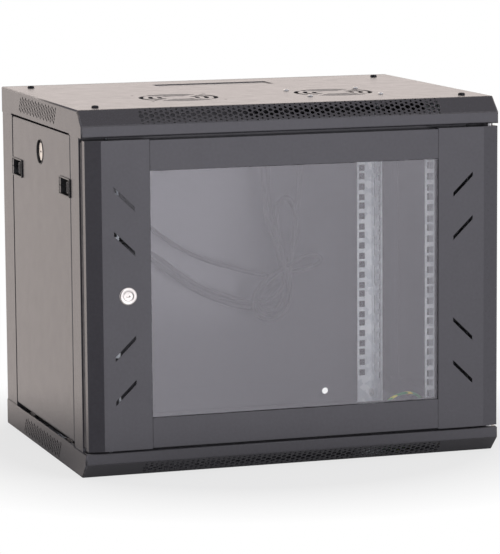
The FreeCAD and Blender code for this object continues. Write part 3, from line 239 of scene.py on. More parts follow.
BY_SLOT = {"black_powder_coat": COAT, "galvanised": ZINC_SHEET, "glass": GLASS,
           "seal_rubber": RUBBER, "zinc_fasteners": BRIGHT_ZINC, "nickel_lock": NICKEL,
           "cord_rubber": CORD_BLACK, "earth_insulation": STRIPED, "black_plastic": PLASTIC,
           "black_bolts": BLACK_ZINC}
for entry in frame["record"]["subparts"]:
    held = nodes[entry["node"]].data.materials
    held.clear()
    held.append(BY_SLOT[entry["material_slot"]])


# Pieces.

def show(name, mesh, body, material, replaced=()):
    """Puts a mesh in the scene on its body, in place of the named nodes."""
    made = bpy.data.objects.new(name, mesh)
    scene.collection.objects.link(made)
    mesh.materials.clear()
    mesh.materials.append(material)
    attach(made, body)
    if replaced:
        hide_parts(*replaced)
    return made


def nurbs(name, points, radius, material, body, replaced):
    """One smooth cord through the route's points, given in millimetres."""
    curve = bpy.data.curves.new(name, "CURVE")
    curve.dimensions = "3D"
    curve.bevel_depth = radius
    curve.bevel_resolution = 3
    curve.resolution_u = 8
    curve.use_fill_caps = True
    line = curve.splines.new("NURBS")
    line.points.add(len(points) - 1)
    for point, place in zip(line.points, points):
        point.co = (place[0] * MM, place[1] * MM, place[2] * MM, 1)
    line.order_u = 3
    line.use_endpoint_u = True
    curve.materials.append(material)
    made = bpy.data.objects.new(name, curve)
    scene.collection.objects.link(made)
    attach(made, body)
    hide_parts(*replaced)
    return made


# The fan cord's route from the fan: down, into the tied hank and its bight, out and back,
# round again, then up to the plug.
FEED = [(150, 0, 487), (150, 22, 487), (146, 62, 485), (134, 104, 484), (118, 142, 484),
        (103, 168, 479), (93, 181, 463), (89, 185, 436), (88, 186, 392), (90, 186, 340),
        (95, 185, 290), (108, 184, 250)]
FIRST_TURNS = [(122, 181, 222), (131, 180, 190), (128, 179, 160), (110, 179, 141),
               (86, 179, 140), (70, 180, 156), (72, 181, 180), (92, 183, 200),
               (118, 186, 214), (138, 188, 238), (146, 190, 268), (143, 190, 300),
               (129, 190, 325), (113, 190, 316), (106, 190, 290), (110, 190, 254),
               (118, 190, 222), (124, 190, 186), (116, 189, 158), (96, 188, 148),
               (80, 187, 162), (82, 187, 184), (100, 186, 198), (120, 185, 212),
               (123, 185, 236)]
BIGHT = [(112, 185, 262), (101, 185, 300), (97, 185, 344), (97, 185, 388), (98, 185, 416),
         (99, 185, 438), (106, 184, 455), (123, 184, 462), (140, 184, 455), (147, 185, 438),
         (149, 185, 416), (149, 185, 388), (148, 185, 346), (144, 185, 304),
         (137, 185, 268)]
SECOND_TURNS = [(132, 184, 236), (130, 184, 200), (132, 184, 172), (120, 184, 148),
                (98, 184, 142), (76, 184, 158), (78, 184, 186), (98, 181, 206),
                (124, 180, 220), (150, 180, 234), (174, 181, 236), (182, 184, 226),
                (172, 188, 216), (148, 190, 212), (120, 188, 206)]
TAIL = [(92, 184, 206), (50, 184, 218), (-12, 183, 237), (-64, 181, 268), (-104, 178, 302),
        (-140, 175, 326), (-172, 172, 326), (-184, 170, 300), (-164, 172, 274),
        (-122, 176, 268), (-82, 180, 248), (-43, 183, 216), (-4, 184, 190), (50, 184, 170),
        (86, 184, 166)]
THIRD_TURNS = [(108, 183, 174), (124, 180, 196), (118, 179, 232), (110, 179, 270),
               (108, 179, 306), (120, 180, 328), (136, 182, 318), (142, 184, 286),
               (136, 187, 250), (130, 190, 216), (134, 191, 186), (124, 191, 160),
               (106, 191, 152)]
END = [(86, 191, 156), (50, 191, 160), (-4, 191, 181), (-43, 191, 206), (-82, 191, 238),
       (-122, 190, 266), (-160, 186, 294), (-192, 178, 324), (-214, 167, 352),
       (-226, 160, 386), (-230, 158, 416), (-230, 158, 440), (-223, 159, 456),
       (-208, 162, 463), (-193, 165, 456), (-186, 167, 440), (-187, 167, 421),
       (-186, 167, 404)]
ROUTE = FEED + FIRST_TURNS + BIGHT + SECOND_TURNS + TAIL + THIRD_TURNS + END
fan_cord = nurbs("fan_cord", ROUTE, 0.003, CORD_BLACK, "cabinet",
                 ["fan_cord_feed", "fan_cord_bight", "fan_cord_hank", "fan_cord_tail",
                  "fan_cord_end"])

# The earth wire's route, from its stud over the right beam.
EARTH = [(212, 0, 6.2), (212.5, 0, 20), (216, 0, 36), (229, 0, 45), (246, 0, 49.5),
         (261, 0, 48), (271, 0, 40.5)]
earth = nurbs("earth_lead", EARTH, 0.002, STRIPED, "cabinet",
              ["earth_wire"])


# Folded and perforated sheet.

def ring(x, y, radius, count=12):
    """The corners of a round hole or disc."""
    return [(x + radius * math.cos(2 * math.pi * k / count),
             y + radius * math.sin(2 * math.pi * k / count)) for k in range(count)]


def rectangle(low_x, high_x, low_y, high_y, corner=0.0):
    """The corners of a rectangle, rounded where a corner radius is given."""
    if not corner:
        return [(low_x, low_y), (high_x, low_y), (high_x, high_y), (low_x, high_y)]
    loop = []
    for x, y, first in ((high_x - corner, high_y - corner, 0), (low_x + corner, high_y - corner, 1),
                        (low_x + corner, low_y + corner, 2), (high_x - corner, low_y + corner, 3)):
        for k in range(5):
            angle = math.pi / 2 * (first + k / 4)
            loop.append((x + corner * math.cos(angle), y + corner * math.sin(angle)))
    return loop


def plate(shell, loops, origin, across, along, out, thick):
    """Adds one flat sheet with holes. The outer face passes through origin."""
    curve = bpy.data.curves.new("plate", "CURVE")
    curve.dimensions = "2D"
    curve.fill_mode = "BOTH"
    curve.extrude = thick * MM / 2
    for loop in loops:
        line = curve.splines.new("POLY")
        line.points.add(len(loop) - 1)
        for point, (x, y) in zip(line.points, loop):
            point.co = (x * MM, y * MM, 0, 1)
        line.use_cyclic_u = True
    holder = bpy.data.objects.new("plate", curve)
    mesh = bpy.data.meshes.new_from_object(holder)
    basis = Matrix((across, along, out)).transposed().to_4x4()
    middle = (Vector(origin) - Vector(out) * thick / 2) * MM
    mesh.transform(Matrix.Translation(middle) @ basis)
    shell.from_mesh(mesh)
    bpy.data.objects.remove(holder)
    bpy.data.curves.remove(curve)
    bpy.data.meshes.remove(mesh)


def fold(shell, start, stop, first, second, radius, thick, steps=5):
    """Adds the rounded strip between two plates, from their outward normals."""
    first, second = Vector(first).normalized(), Vector(second).normalized()
    angle = first.angle(second)
    rows = []
    for k in range(steps + 1):
        t = k / steps
        out = (first * math.sin((1 - t) * angle) + second * math.sin(t * angle)) / math.sin(angle)
        rows.append([shell.verts.new((Vector(end) + out * reach) * MM)
                     for end in (start, stop) for reach in (radius, radius - thick)])
    for near, far in zip(rows, rows[1:]):
        for a, b in ((0, 2), (1, 3)):
            face = shell.faces.new((near[a], near[b], far[b], far[a]))
            face.smooth = True
        for a, b in ((0, 1), (2, 3)):
            shell.faces.new((near[a], near[b], far[b], far[a]))


def corner(shell, centre, normals, radius, steps=5):
    """Adds the ball patch where three folds meet."""
    a, b, c = (Vector(n).normalized() for n in normals)
    grid = []
    for i in range(steps + 1):
        row = []
        for j in range(i + 1):
            toward = a * (steps - i) + b * (i - j) + c * j
            row.append(shell.verts.new((Vector(centre) + toward.normalized() * radius) * MM))
        grid.append(row)
    for i in range(steps):
        for j in range(i + 1):
            shell.faces.new((grid[i][j], grid[i + 1][j], grid[i + 1][j + 1])).smooth = True
            if j < i:
                shell.faces.new((grid[i][j], grid[i + 1][j + 1], grid[i][j + 1])).smooth = True


# Covers: a pressed tray with a chamfered front. Z runs up from the tray's large face.

# Half the width, the front and back faces, and the height of the walls.
WIDE, FRONT, BACK, HIGH = 300.0, -225.0, 223.8, 36.6
# The chamfer's height and depth, the sheet's thickness and the outer radius of its folds.
RISE, RUN, SHEET, ROUND = 20.4, 21.6, 1.2, 1.9
SLANT = math.hypot(RISE, RUN)
SLANT_OUT = Vector((0, -RISE, -RUN)).normalized()
SLANT_UP = Vector((0, RUN, -RISE)).normalized()
# Where the flat faces end and the folds begin.
EDGE_X, EDGE_FRONT, EDGE_BACK = WIDE - ROUND, FRONT + ROUND, BACK - ROUND
FACE_Z = RISE + (1 - RISE / SLANT) * ROUND / (RUN / SLANT)
BASE_Y = FRONT + (ROUND + (RISE - ROUND) * RUN / SLANT) / (RISE / SLANT)

BOLT_X, BOLT_YS, BOLT_HOLE = 265.7, (-172, 184), 3.2
FAN_X, FAN_Y, FAN_SCREW_OUT, FAN_SCREW_HOLE = 114.5, -60, 52.5, 2.2
FAN_RINGS, FAN_SLOT, FAN_RIB = (27, 40, 53), 6.5, 9
ENTRY_HALF, ENTRY_YS, ENTRY_CORNER = 86.6, (121, 169), 2
WALL_HOLE_X, WALL_HOLE_Z, WALL_HOLE, BACK_HALF = 200, 17.7, 5, 297.2
HINGE_X, HINGE_Y, HINGE_HOLE = 288, -220, 3.05
LIP_BACK, RETURN_HALF, RETURN_HIGH = -209, 258, 6

VENT_COLUMNS, VENT_PITCH = 30, 14.7
# Height from the middle row and radius of the holes, for each row outward.
VENT_ROWS = ((0, 3.7), (3.9, 3.0), (7.5, 2.3), (10.6, 1.8), (13.1, 1.4))
SIDE_COLUMNS, SIDE_PITCH, SIDE_HOLE, SIDE_LEAN = 22, 9.4, 2.3, 0.61
SIDE_MIDDLE_Y, SIDE_MIDDLE_Z = 13.5, 17
SIDE_ROWS = ((-9.6, -4.8, 0, 4.8, 9.6), (-7.2, -2.4, 2.4, 7.2))

# The walls step back over the side panels: the top one along them, the bottom one in front.
TOP_STEP, TOP_STEP_YS = 2.0, (168, -161.6)
BOTTOM_STEP, BOTTOM_STEP_Y = 1.8, -161
COVER_TOP = 501


def fan_slots(x):
    """Three rings of quarter slots and four screw holes about a fan opening."""
    loops = []
    for middle in FAN_RINGS:
        for quarter in range(4):
            loop = []
            for radius, sign in ((middle - FAN_SLOT / 2, 1), (middle + FAN_SLOT / 2, -1)):
                half = math.pi / 4 - math.asin(FAN_RIB / 2 / radius)
                for k in range(9):
                    angle = quarter * math.pi / 2 + sign * half * (k / 4 - 1)
                    loop.append((x + radius * math.cos(angle), FAN_Y + radius * math.sin(angle)))
            loops.append(loop)
    loops += [ring(x + FAN_SCREW_OUT * i, FAN_Y + FAN_SCREW_OUT * j, FAN_SCREW_HOLE)
              for i in (-1, 1) for j in (-1, 1)]
    return loops


def chamfer_holes():
    """Round holes in nine staggered rows, largest in the middle."""
    loops = []
    for row, (height, radius) in enumerate(VENT_ROWS):
        count = VENT_COLUMNS - row % 2
        for sign in ((-1, 1) if row else (1,)):
            for k in range(count):
                x = (k - (count - 1) / 2) * VENT_PITCH
                loops.append(ring(x, sign * height, radius, 12 if radius > 1.5 else 8))
    return loops


def side_holes(skew):
    """Staggered holes on a leaning lattice, as (y, height above the outer face)."""
    loops = []
    for column in range(SIDE_COLUMNS):
        for height in SIDE_ROWS[column % 2]:
            y = (SIDE_MIDDLE_Y + (column - (SIDE_COLUMNS - 1) / 2) * SIDE_PITCH
                 + skew * SIDE_LEAN * height)
            loops.append(ring(y, SIDE_MIDDLE_Z + height, SIDE_HOLE))
    return loops


def cover_front(shell):
    """The front face and the perforated chamfer."""
    plate(shell, [rectangle(-EDGE_X, EDGE_X, FACE_Z, HIGH - ROUND)], (0, FRONT, 0),
          X, Z, -Y, SHEET)
    middle = Vector((0, FRONT + RUN / 2, RISE / 2))
    ends = [(Vector((0, *place)) - middle).dot(SLANT_UP)
            for place in ((EDGE_FRONT, FACE_Z), (BASE_Y, ROUND))]
    plate(shell, [rectangle(-EDGE_X, EDGE_X, *ends)] + chamfer_holes(), middle,
          X, SLANT_UP, SLANT_OUT, SHEET)


def cover_base(shell, is_top):
    """The large face: bolt holes, the cable entry and, on top, two fan openings."""
    holes = [ring(side * BOLT_X, y, BOLT_HOLE, 16) for side in (-1, 1) for y in BOLT_YS]
    holes.append(rectangle(-ENTRY_HALF, ENTRY_HALF, *ENTRY_YS, ENTRY_CORNER))
    if is_top:
        holes += fan_slots(-FAN_X) + fan_slots(FAN_X)
    plate(shell, [rectangle(-EDGE_X, EDGE_X, BASE_Y, EDGE_BACK)] + holes, (0, 0, 0),
          X, Y, -Z, SHEET)


def cover_back(shell):
    """The back wall with its two wall holes."""
    holes = [ring(side * WALL_HOLE_X, WALL_HOLE_Z, WALL_HOLE, 24) for side in (-1, 1)]
    plate(shell, [rectangle(-BACK_HALF, BACK_HALF, ROUND, HIGH)] + holes, (0, BACK, 0),
          X, Z, Y, SHEET)


def cover_lip(shell, is_top):
    """The lip behind the front face, with the hinge pin's hole, and its return."""
    hinge = -HINGE_X if is_top else HINGE_X
    plate(shell, [rectangle(-EDGE_X, EDGE_X, EDGE_FRONT, LIP_BACK),
                  ring(hinge, HINGE_Y, HINGE_HOLE, 20)], (0, 0, HIGH), X, Y, Z, SHEET)
    plate(shell, [rectangle(-RETURN_HALF, RETURN_HALF, HIGH, HIGH + RETURN_HIGH)],
          (0, LIP_BACK, 0), X, Z, Y, SHEET)


def cover_side(shell, side, is_top):
    """A side wall with its vent and its steps, and the folds and balls round it."""
    out, x = X * side, side * EDGE_X
    front_high = HIGH if is_top else HIGH - BOTTOM_STEP
    wall = [(EDGE_FRONT, front_high), (EDGE_FRONT, FACE_Z), (BASE_Y, ROUND), (BACK, ROUND),
            (BACK, HIGH)]
    if is_top:
        rear, front = TOP_STEP_YS
        wall += [(rear, HIGH), (rear, HIGH - TOP_STEP), (front, HIGH - TOP_STEP), (front, HIGH)]
    else:
        wall += [(BOTTOM_STEP_Y, HIGH), (BOTTOM_STEP_Y, front_high)]
    plate(shell, [wall] + side_holes(1 if is_top else -1), (side * WIDE, 0, 0),
          Y, Z, out, SHEET)
    path = [(x, EDGE_FRONT, front_high), (x, EDGE_FRONT, FACE_Z), (x, BASE_Y, ROUND),
            (x, BACK, ROUND)]
    for start, stop, face in zip(path, path[1:], (-Y, SLANT_OUT, -Z)):
        fold(shell, start, stop, out, face, ROUND, SHEET)
    corner(shell, path[1], (out, -Y, SLANT_OUT), ROUND)
    corner(shell, path[2], (out, SLANT_OUT, -Z), ROUND)


def cover(name, is_top):
    """A cover as the bottom one stands. The top one is turned over and raised."""
    shell = bmesh.new()
    cover_front(shell)
    cover_base(shell, is_top)
    cover_back(shell)
    cover_lip(shell, is_top)
    for side in (-1, 1):
        cover_side(shell, side, is_top)
    for y, z, first, second in ((EDGE_FRONT, FACE_Z, -Y, SLANT_OUT),
                                (BASE_Y, ROUND, SLANT_OUT, -Z),
                                (EDGE_BACK, ROUND, -Z, Y),
                                (EDGE_FRONT, HIGH - ROUND, -Y, Z)):
        fold(shell, (-EDGE_X, y, z), (EDGE_X, y, z), first, second, ROUND, SHEET)
    bmesh.ops.recalc_face_normals(shell, faces=shell.faces)
    mesh = bpy.data.meshes.new(name)
    shell.to_mesh(mesh)
    shell.free()
    if is_top:
        mesh.transform(Matrix.Translation((0, 0, COVER_TOP * MM))
                       @ Matrix.Rotation(math.pi, 4, "Y"))
    return mesh


show("top_cover_sheet", cover("top_cover_sheet", True), "cabinet", COAT,
     ["top_cover"])
show("bottom_cover_sheet", cover("bottom_cover_sheet", False), "cabinet",
     COAT, ["bottom_cover"])


# Turned, moulded and rounded forms.

def block(shell, low, high, soft, segments=2):
    """Adds a box with rounded edges, from its lowest and highest corners."""
    flat = shell.faces.layers.int.get("flat") or shell.faces.layers.int.new("flat")
    low, high = Vector(low), Vector(high)
    verts = bmesh.ops.create_cube(shell, size=1)["verts"]
    size = Matrix.Diagonal(high - low).to_4x4()
    bmesh.ops.transform(shell, matrix=Matrix.Translation((low + high) / 2) @ size, verts=verts)
    edges = list({edge for vert in verts for edge in vert.link_edges})
    made = bmesh.ops.bevel(shell, geom=edges, offset=soft, segments=segments, profile=0.5,
                           affect="EDGES")
    verts = list({vert for face in made["faces"] for vert in face.verts})
    bmesh.ops.scale(shell, vec=(MM, MM, MM), verts=verts)
    # The six large faces stay flat, or the pane would mirror like a pillow.
    for face in {face for vert in verts for face in vert.link_faces}:
        face.normal_update()
        face[flat] = int(max(abs(part) for part in face.normal) > 0.999)


def side_block(shell, side, near, far, y_span, z_span, soft, segments=2):
    """A block on one side, between two distances from the cabinet's middle plane."""
    low, high = sorted((side * near, side * far))
    block(shell, (low, y_span[0], z_span[0]), (high, y_span[1], z_span[1]), soft, segments)


def skin(shell, rows, closed=False):
    """Joins rows of vertices, each row a closed ring or one vertex."""
    pairs = list(zip(rows, rows[1:])) + ([(rows[-1], rows[0])] if closed else [])
    for near, far in pairs:
        count = max(len(near), len(far))
        for k in range(count):
            loop = [near[k % len(near)], near[(k + 1) % len(near)],
                    far[(k + 1) % len(far)], far[k % len(far)]]
            loop = [vert for i, vert in enumerate(loop) if vert not in loop[:i]]
            if len(loop) > 2:
                shell.faces.new(loop)


def turned(shell, centre, axis, profile, steps=28, closed=False):
    """Adds a surface of revolution from (radius, height) pairs along an axis."""
    axis = Vector(axis).normalized()
    across = axis.orthogonal().normalized()
    along = axis.cross(across)
    rows = []
    for radius, height in profile:
        base = Vector(centre) + axis * height
        count = steps if radius > 0.001 else 1
        rows.append([shell.verts.new((base + (across * math.cos(2 * math.pi * k / steps)
                                              + along * math.sin(2 * math.pi * k / steps))
                                      * radius) * MM) for k in range(count)])
    skin(shell, rows, closed)


def rim(shell, origin, across, along, out, half_u, half_v, corner, profile):
    """Sweeps a closed profile of (inset, height) pairs round a rounded rectangle."""
    rows = []
    for inset, height in profile:
        loop = rectangle(-half_u + inset, half_u - inset, -half_v + inset, half_v - inset,
                         max(corner - inset, 0.3))
        rows.append([shell.verts.new((Vector(origin) + across * u + along * v + out * height)
                                     * MM) for u, v in loop])
    skin(shell, rows, closed=True)


def finished(shell, name, sharp=32):
    """Turns a shell into a mesh, smooth up to an angle and flat on its blocks' faces."""
    bmesh.ops.recalc_face_normals(shell, faces=shell.faces)
    flat = shell.faces.layers.int.get("flat")
    smooth = [flat is None or face[flat] == 0 for face in shell.faces]
    if flat is not None:
        shell.faces.layers.int.remove(flat)
    mesh = bpy.data.meshes.new(name)
    shell.to_mesh(mesh)
    shell.free()
    mesh.set_sharp_from_angle(angle=math.radians(sharp))
    # Last, for the call above makes every face smooth again.
    mesh.polygons.foreach_set("use_smooth", smooth)
    return mesh


# Screws of the top cover and of the fan.

def cross_loop(reach, half):
    """A plus sign: arms of the given reach and half width."""
    return [(half, half), (reach, half), (reach, -half), (half, -half), (half, -reach),
            (-half, -reach), (-half, -half), (-reach, -half), (-reach, half), (-half, half),
            (-half, reach), (half, reach)]


def pan_screw(shell, x, y, radius, height, shank, foot, nut, nut_height):
    """Pan head with a cross recess on the top cover, its shank and its nut."""
    crown, turn, place = radius * 0.6, 0.35 * (x + y), (x, y, COVER_TOP)
    turned(shell, place, Z,
           [(radius * 0.93, 0), (radius, height * 0.12), (radius, height * 0.42),
            (radius * 0.93, height * 0.72), (radius * 0.8, height * 0.9), (crown, height),
            (crown, height - 0.8), (0, height - 0.8)])
    spun = [(u * math.cos(turn) - v * math.sin(turn), u * math.sin(turn) + v * math.cos(turn))
            for u, v in cross_loop(crown * 0.82, crown * 0.17)]
    plate(shell, [ring(0, 0, crown, 28), spun], (x, y, COVER_TOP + height), X, Y, Z, 0.75)
    turned(shell, place, Z, [(shank, 0), (shank, foot - COVER_TOP)], 12)
    turned(shell, (x, y, foot), Z, [(0, 0), (nut * 0.9, 0), (nut, 0.4), (nut, nut_height)], 6)


def top_cover_screws():
    shell = bmesh.new()
    for side in (-1, 1):
        for y in BOLT_YS:
            pan_screw(shell, side * BOLT_X, y, radius=5, height=3, shank=3, foot=494, nut=5.8,
                      nut_height=4.5)
    show("top_cover_screws", finished(shell, "top_cover_screws"), "cabinet",
         BLACK_ZINC, ["top_cover_bolts"])


def fan_mount_screws():
    shell = bmesh.new()
    for i in (-1, 1):
        for j in (-1, 1):
            pan_screw(shell, FAN_X + FAN_SCREW_OUT * i, FAN_Y + FAN_SCREW_OUT * j, radius=4,
                      height=2.4, shank=2, foot=471.6, nut=4, nut_height=3.2)
    show("fan_mount_screws", finished(shell, "fan_mount_screws"), "cabinet",
         BRIGHT_ZINC, ["fan_screws"])


top_cover_screws()
fan_mount_screws()


# Mounting rails: folded channels with square holes, rounded slots and, at the rear, a second row.

UNITS, UNIT, HOLE_STEP, FIRST_HOLE = 9, 44.45, 15.875, 56.825
HOLE_HALF, HOLE_CORNER, HOLE_COLUMN_X = 4.75, 0.7, 232.55
RAIL_INNER_X, RAIL_OUTER_X, RAIL_ZS = 225, 249.5, (10, 491)
RAIL_FRONT_Y, RAIL_REAR_Y, RAIL_DEPTH = -137.0, 147.3, 44
RAIL_BEND, RAIL_SHEET, RAIL_BOLT_IN, RAIL_BOLT_ZS = 2.6, 2.0, 8, (27, 474)
WEB_SLOT_IN, WEB_SLOT_HALF, WEB_SLOT_REACH, WEB_SLOT_CORNER = 13, 3.5, 16.5, 3.45
SECOND_ROW_IN, SECOND_ROW_HALF = 33, 4


def rail(name, side, is_front):
    shell = bmesh.new()
    face, way = (RAIL_FRONT_Y, 1) if is_front else (RAIL_REAR_Y, -1)
    out_flange, out_web = -Y * way, X * side
    heights = [FIRST_HOLE + UNIT * unit + HOLE_STEP * k for unit in range(UNITS) for k in range(3)]
    edge = RAIL_OUTER_X - RAIL_BEND
    span = sorted((side * RAIL_INNER_X, side * edge))
    column = side * HOLE_COLUMN_X
    plate(shell, [rectangle(*span, *RAIL_ZS)] +
          [rectangle(column - HOLE_HALF, column + HOLE_HALF, z - HOLE_HALF, z + HOLE_HALF,
                     HOLE_CORNER) for z in heights],
          (0, face, 0), X, Z, out_flange, RAIL_SHEET)

    first, last = sorted((face + way * RAIL_BEND, face + way * RAIL_DEPTH))
    loops = [rectangle(first, last, *RAIL_ZS)]
    middle = face + way * WEB_SLOT_IN
    for unit in range(UNITS):
        z = FIRST_HOLE + HOLE_STEP + UNIT * unit
        loops.append(rectangle(middle - WEB_SLOT_HALF, middle + WEB_SLOT_HALF,
                               z - WEB_SLOT_REACH, z + WEB_SLOT_REACH, WEB_SLOT_CORNER))
    if not is_front:
        far = face + way * SECOND_ROW_IN
        loops += [rectangle(far - SECOND_ROW_HALF, far + SECOND_ROW_HALF, z - HOLE_HALF,
                            z + HOLE_HALF, HOLE_CORNER) for z in heights]
    loops += [ring(face + way * RAIL_BOLT_IN, z, BOLT_HOLE, 16) for z in RAIL_BOLT_ZS]
    plate(shell, loops, (side * RAIL_OUTER_X, 0, 0), Y, Z, out_web, RAIL_SHEET)
    line = [(side * edge, face + way * RAIL_BEND, z) for z in RAIL_ZS]
    fold(shell, line[0], line[1], out_flange, out_web, RAIL_BEND, RAIL_SHEET)
    show(name, finished(shell, name), "cabinet", ZINC_SHEET,
         [name.replace("channel", "rail")])


for end, is_front in (("front", True), ("rear", False)):
    for name, side in SIDES:
        rail(f"channel_{end}_{name}", side, is_front)


# Door lock: stepped bezel and a plug with its keyway.

LOCK = (-240, -233.2, 250.5)


def keyed_face(shell, centre, across, along, out, radius, height, length, width):
    """A flat face with a rounded keyway, and the floor of the keyway."""
    plate(shell, [ring(0, 0, radius, 28),
                  rectangle(-length / 2, length / 2, -width / 2, width / 2, width / 2 - 0.05)],
          Vector(centre) + out * height, across, along, out, 1.4)
    plate(shell, [ring(0, 0, radius - 0.2, 16)], Vector(centre) + out * (height - 2.6),
          across, along, out, 0.4)


def door_lock():
    shell = bmesh.new()
    turned(shell, LOCK, -Y, [(6.55, -20.2), (6.55, 1.2), (6.6, 1.4), (6.8, 1.45), (9.4, 1.48),
                             (10.6, 1.5), (11.5, 1.35), (12.1, 0.9), (12.25, 0.3), (12.25, 0),
                             (9, 0), (9, -1.2), (8.6, -1.6), (9, -2.0), (9, -20.2)], 40, True)
    show("lock_bezel", finished(shell, "lock_bezel"), "door", NICKEL,
         ["door_lock_body"])
    shell = bmesh.new()
    turned(shell, LOCK, -Y, [(6.35, 1.5), (6.48, 1.4), (6.5, 1.2), (6.5, -20.2), (4, -20.2),
                             (4, -31), (3.6, -31.4), (0, -31.4)])
    keyed_face(shell, LOCK, X, Z, -Y, radius=6.35, height=1.5, length=5.6, width=2.2)
    show("lock_plug", finished(shell, "lock_plug"), "door_lock", NICKEL,
         ["door_lock_plug"])


door_lock()


# Side panels: trays with rounded edges, holes for the lock and latches, and hook tabs.

PANEL_X, PANEL_INNER_X, PANEL_BEND, PANEL_SHEET = 298.8, 286.8, 3.2, 1.0
PANEL_YS, PANEL_ZS = (-161.6, 165.7), (40.6, 463.8)
SIDE_LOCK_Y, SIDE_LOCK_Z, SIDE_LOCK_HOLE = 5, 426, 17.45
LATCH_YS, LATCH_Z = {"front": -133.0, "rear": 136.5}, 391
LATCH_HOLE_Y, LATCH_HOLE_Z = 24, 11
TAB_YS, TAB_HALF = (-105, 105), 15
# Each hook tab is joggled: (nearest X, farthest X, lowest Z, highest Z) of its three steps.
TAB_STEPS = ((298.5, 297, 28.6, 34), (298.5, 289, 32.8, 34.2), (290.5, 289, 33, 41.6))


def panel(name, side):
    shell = bmesh.new()
    out, base, inner = X * side, side * (PANEL_X - PANEL_BEND), side * PANEL_INNER_X
    reach = sorted((base, inner))
    # Where the flat face ends, toward each edge, with that edge's outward normal.
    y_ends = ((PANEL_YS[0] + PANEL_BEND, -Y), (PANEL_YS[1] - PANEL_BEND, Y))
    z_ends = ((PANEL_ZS[0] + PANEL_BEND, -Z), (PANEL_ZS[1] - PANEL_BEND, Z))
    y_span, z_span = [y for y, _ in y_ends], [z for z, _ in z_ends]

    loops = [rectangle(*y_span, *z_span),
             ring(SIDE_LOCK_Y, SIDE_LOCK_Z, SIDE_LOCK_HOLE, 44)]
    loops += [rectangle(y - LATCH_HOLE_Y, y + LATCH_HOLE_Y, LATCH_Z - LATCH_HOLE_Z,
                        LATCH_Z + LATCH_HOLE_Z) for y in LATCH_YS.values()]
    plate(shell, loops, (side * PANEL_X, 0, 0), Y, Z, out, PANEL_SHEET)
    for y, n_y in y_ends:
        plate(shell, [rectangle(*z_span, *reach)], Vector((0, y, 0)) + n_y * PANEL_BEND,
              Z, X, n_y, PANEL_SHEET)
        fold(shell, (base, y, z_span[0]), (base, y, z_span[1]), out, n_y, PANEL_BEND,
             PANEL_SHEET)
        for z, n_z in z_ends:
            fold(shell, (inner, y, z), (base, y, z), n_y, n_z, PANEL_BEND, PANEL_SHEET)
            corner(shell, (base, y, z), (out, n_y, n_z), PANEL_BEND)
    for z, n_z in z_ends:
        plate(shell, [rectangle(*y_span, *reach)], Vector((0, 0, z)) + n_z * PANEL_BEND,
              Y, X, n_z, PANEL_SHEET)
        fold(shell, (base, y_span[0], z), (base, y_span[1], z), out, n_z, PANEL_BEND,
             PANEL_SHEET)
    for middle in TAB_YS:
        for near, far, low, high in TAB_STEPS:
            side_block(shell, side, near, far, (middle - TAB_HALF, middle + TAB_HALF),
                       (low, high), 0.4)
    show(f"side_tray_{name}", finished(shell, f"side_tray_{name}"), f"panel_{name}",
         COAT, [f"side_panel_{name}"])


for name, side in SIDES:
    panel(name, side)


def beam_upstand(name, side):
    """A low upstand on the bottom beam, close behind the foot of the panel."""
    shell = bmesh.new()
    side_block(shell, side, 285.2, 286.3, (-161, 165), (30, 47), 0.4)
    show(f"beam_upstand_{name}", finished(shell, f"beam_upstand_{name}"), "cabinet",
         COAT)


for name, side in SIDES:
    beam_upstand(name, side)


# Door: the pane, and the gaskets that it closes against.

def glass_pane():
    shell = bmesh.new()
    block(shell, (-207.2, -231.6, 82.2), (207.2, -227.8, 418.8), 0.5)
    show("glass_pane", finished(shell, "glass_pane"), "door", GLASS, ["door_glass"])


def door_gasket(name, low_x, high_x):
    shell = bmesh.new()
    block(shell, (low_x, -215.6, 42), (high_x, -206.1, 459), 2.2, 4)
    show(f"door_gasket_{name}", finished(shell, f"door_gasket_{name}", 60), "cabinet",
         FOAM)


glass_pane()
door_gasket("left", -297.2, -288)
door_gasket("right", 264, 273)


# Side panel locks: a pressed dish, and a plug with its cam.

CAM_X, CAM_HALF, CAM_TIP_Y, CAM_SHEET = 283.2, 8, 41, 2


def side_lock(name, side):
    centre, out = (side * PANEL_X, SIDE_LOCK_Y, SIDE_LOCK_Z), X * side
    shell = bmesh.new()
    turned(shell, centre, out, [(8.2, -6), (15.4, -6), (16.2, -5.6), (16.5, -4.8), (16.5, 0.35),
                                (16.8, 0.7), (17.3, 0.8), (17.8, 0.6), (18, 0.2), (18, 0),
                                (17.4, 0), (17.4, -7), (8.2, -7)], 44, True)
    show(f"lock_dish_{name}", finished(shell, f"lock_dish_{name}"), f"panel_{name}",
         PLASTIC, [f"side_lock_cup_{name}"])
    shell = bmesh.new()
    turned(shell, centre, out, [(12.6, -1.5), (13.0, -1.7), (13.2, -2.2), (13.2, -5.7), (8, -5.7),
                                (8, -15.6), (0, -15.6)], 40)
    keyed_face(shell, centre, Y, Z, out, radius=12.6, height=-1.5, length=6.5, width=2.2)
    high, low = SIDE_LOCK_Z + CAM_HALF, SIDE_LOCK_Z - CAM_HALF
    round_end = [(SIDE_LOCK_Y - CAM_HALF * math.sin(math.pi * k / 10),
                  SIDE_LOCK_Z + CAM_HALF * math.cos(math.pi * k / 10)) for k in range(1, 10)]
    cam = [(CAM_TIP_Y, high), (SIDE_LOCK_Y, high)] + round_end + [(SIDE_LOCK_Y, low),
                                                                  (CAM_TIP_Y, low)]
    plate(shell, [cam], (side * CAM_X, 0, 0), Y, Z, out, CAM_SHEET)
    show(f"side_plug_{name}", finished(shell, f"side_plug_{name}"), f"side_lock_{name}",
         NICKEL, [f"side_lock_plug_{name}"])


for name, side in SIDES:
    side_lock(name, side)


# Side panel latches: a moulded frame with a ledge, and a slider with its thumb bar.

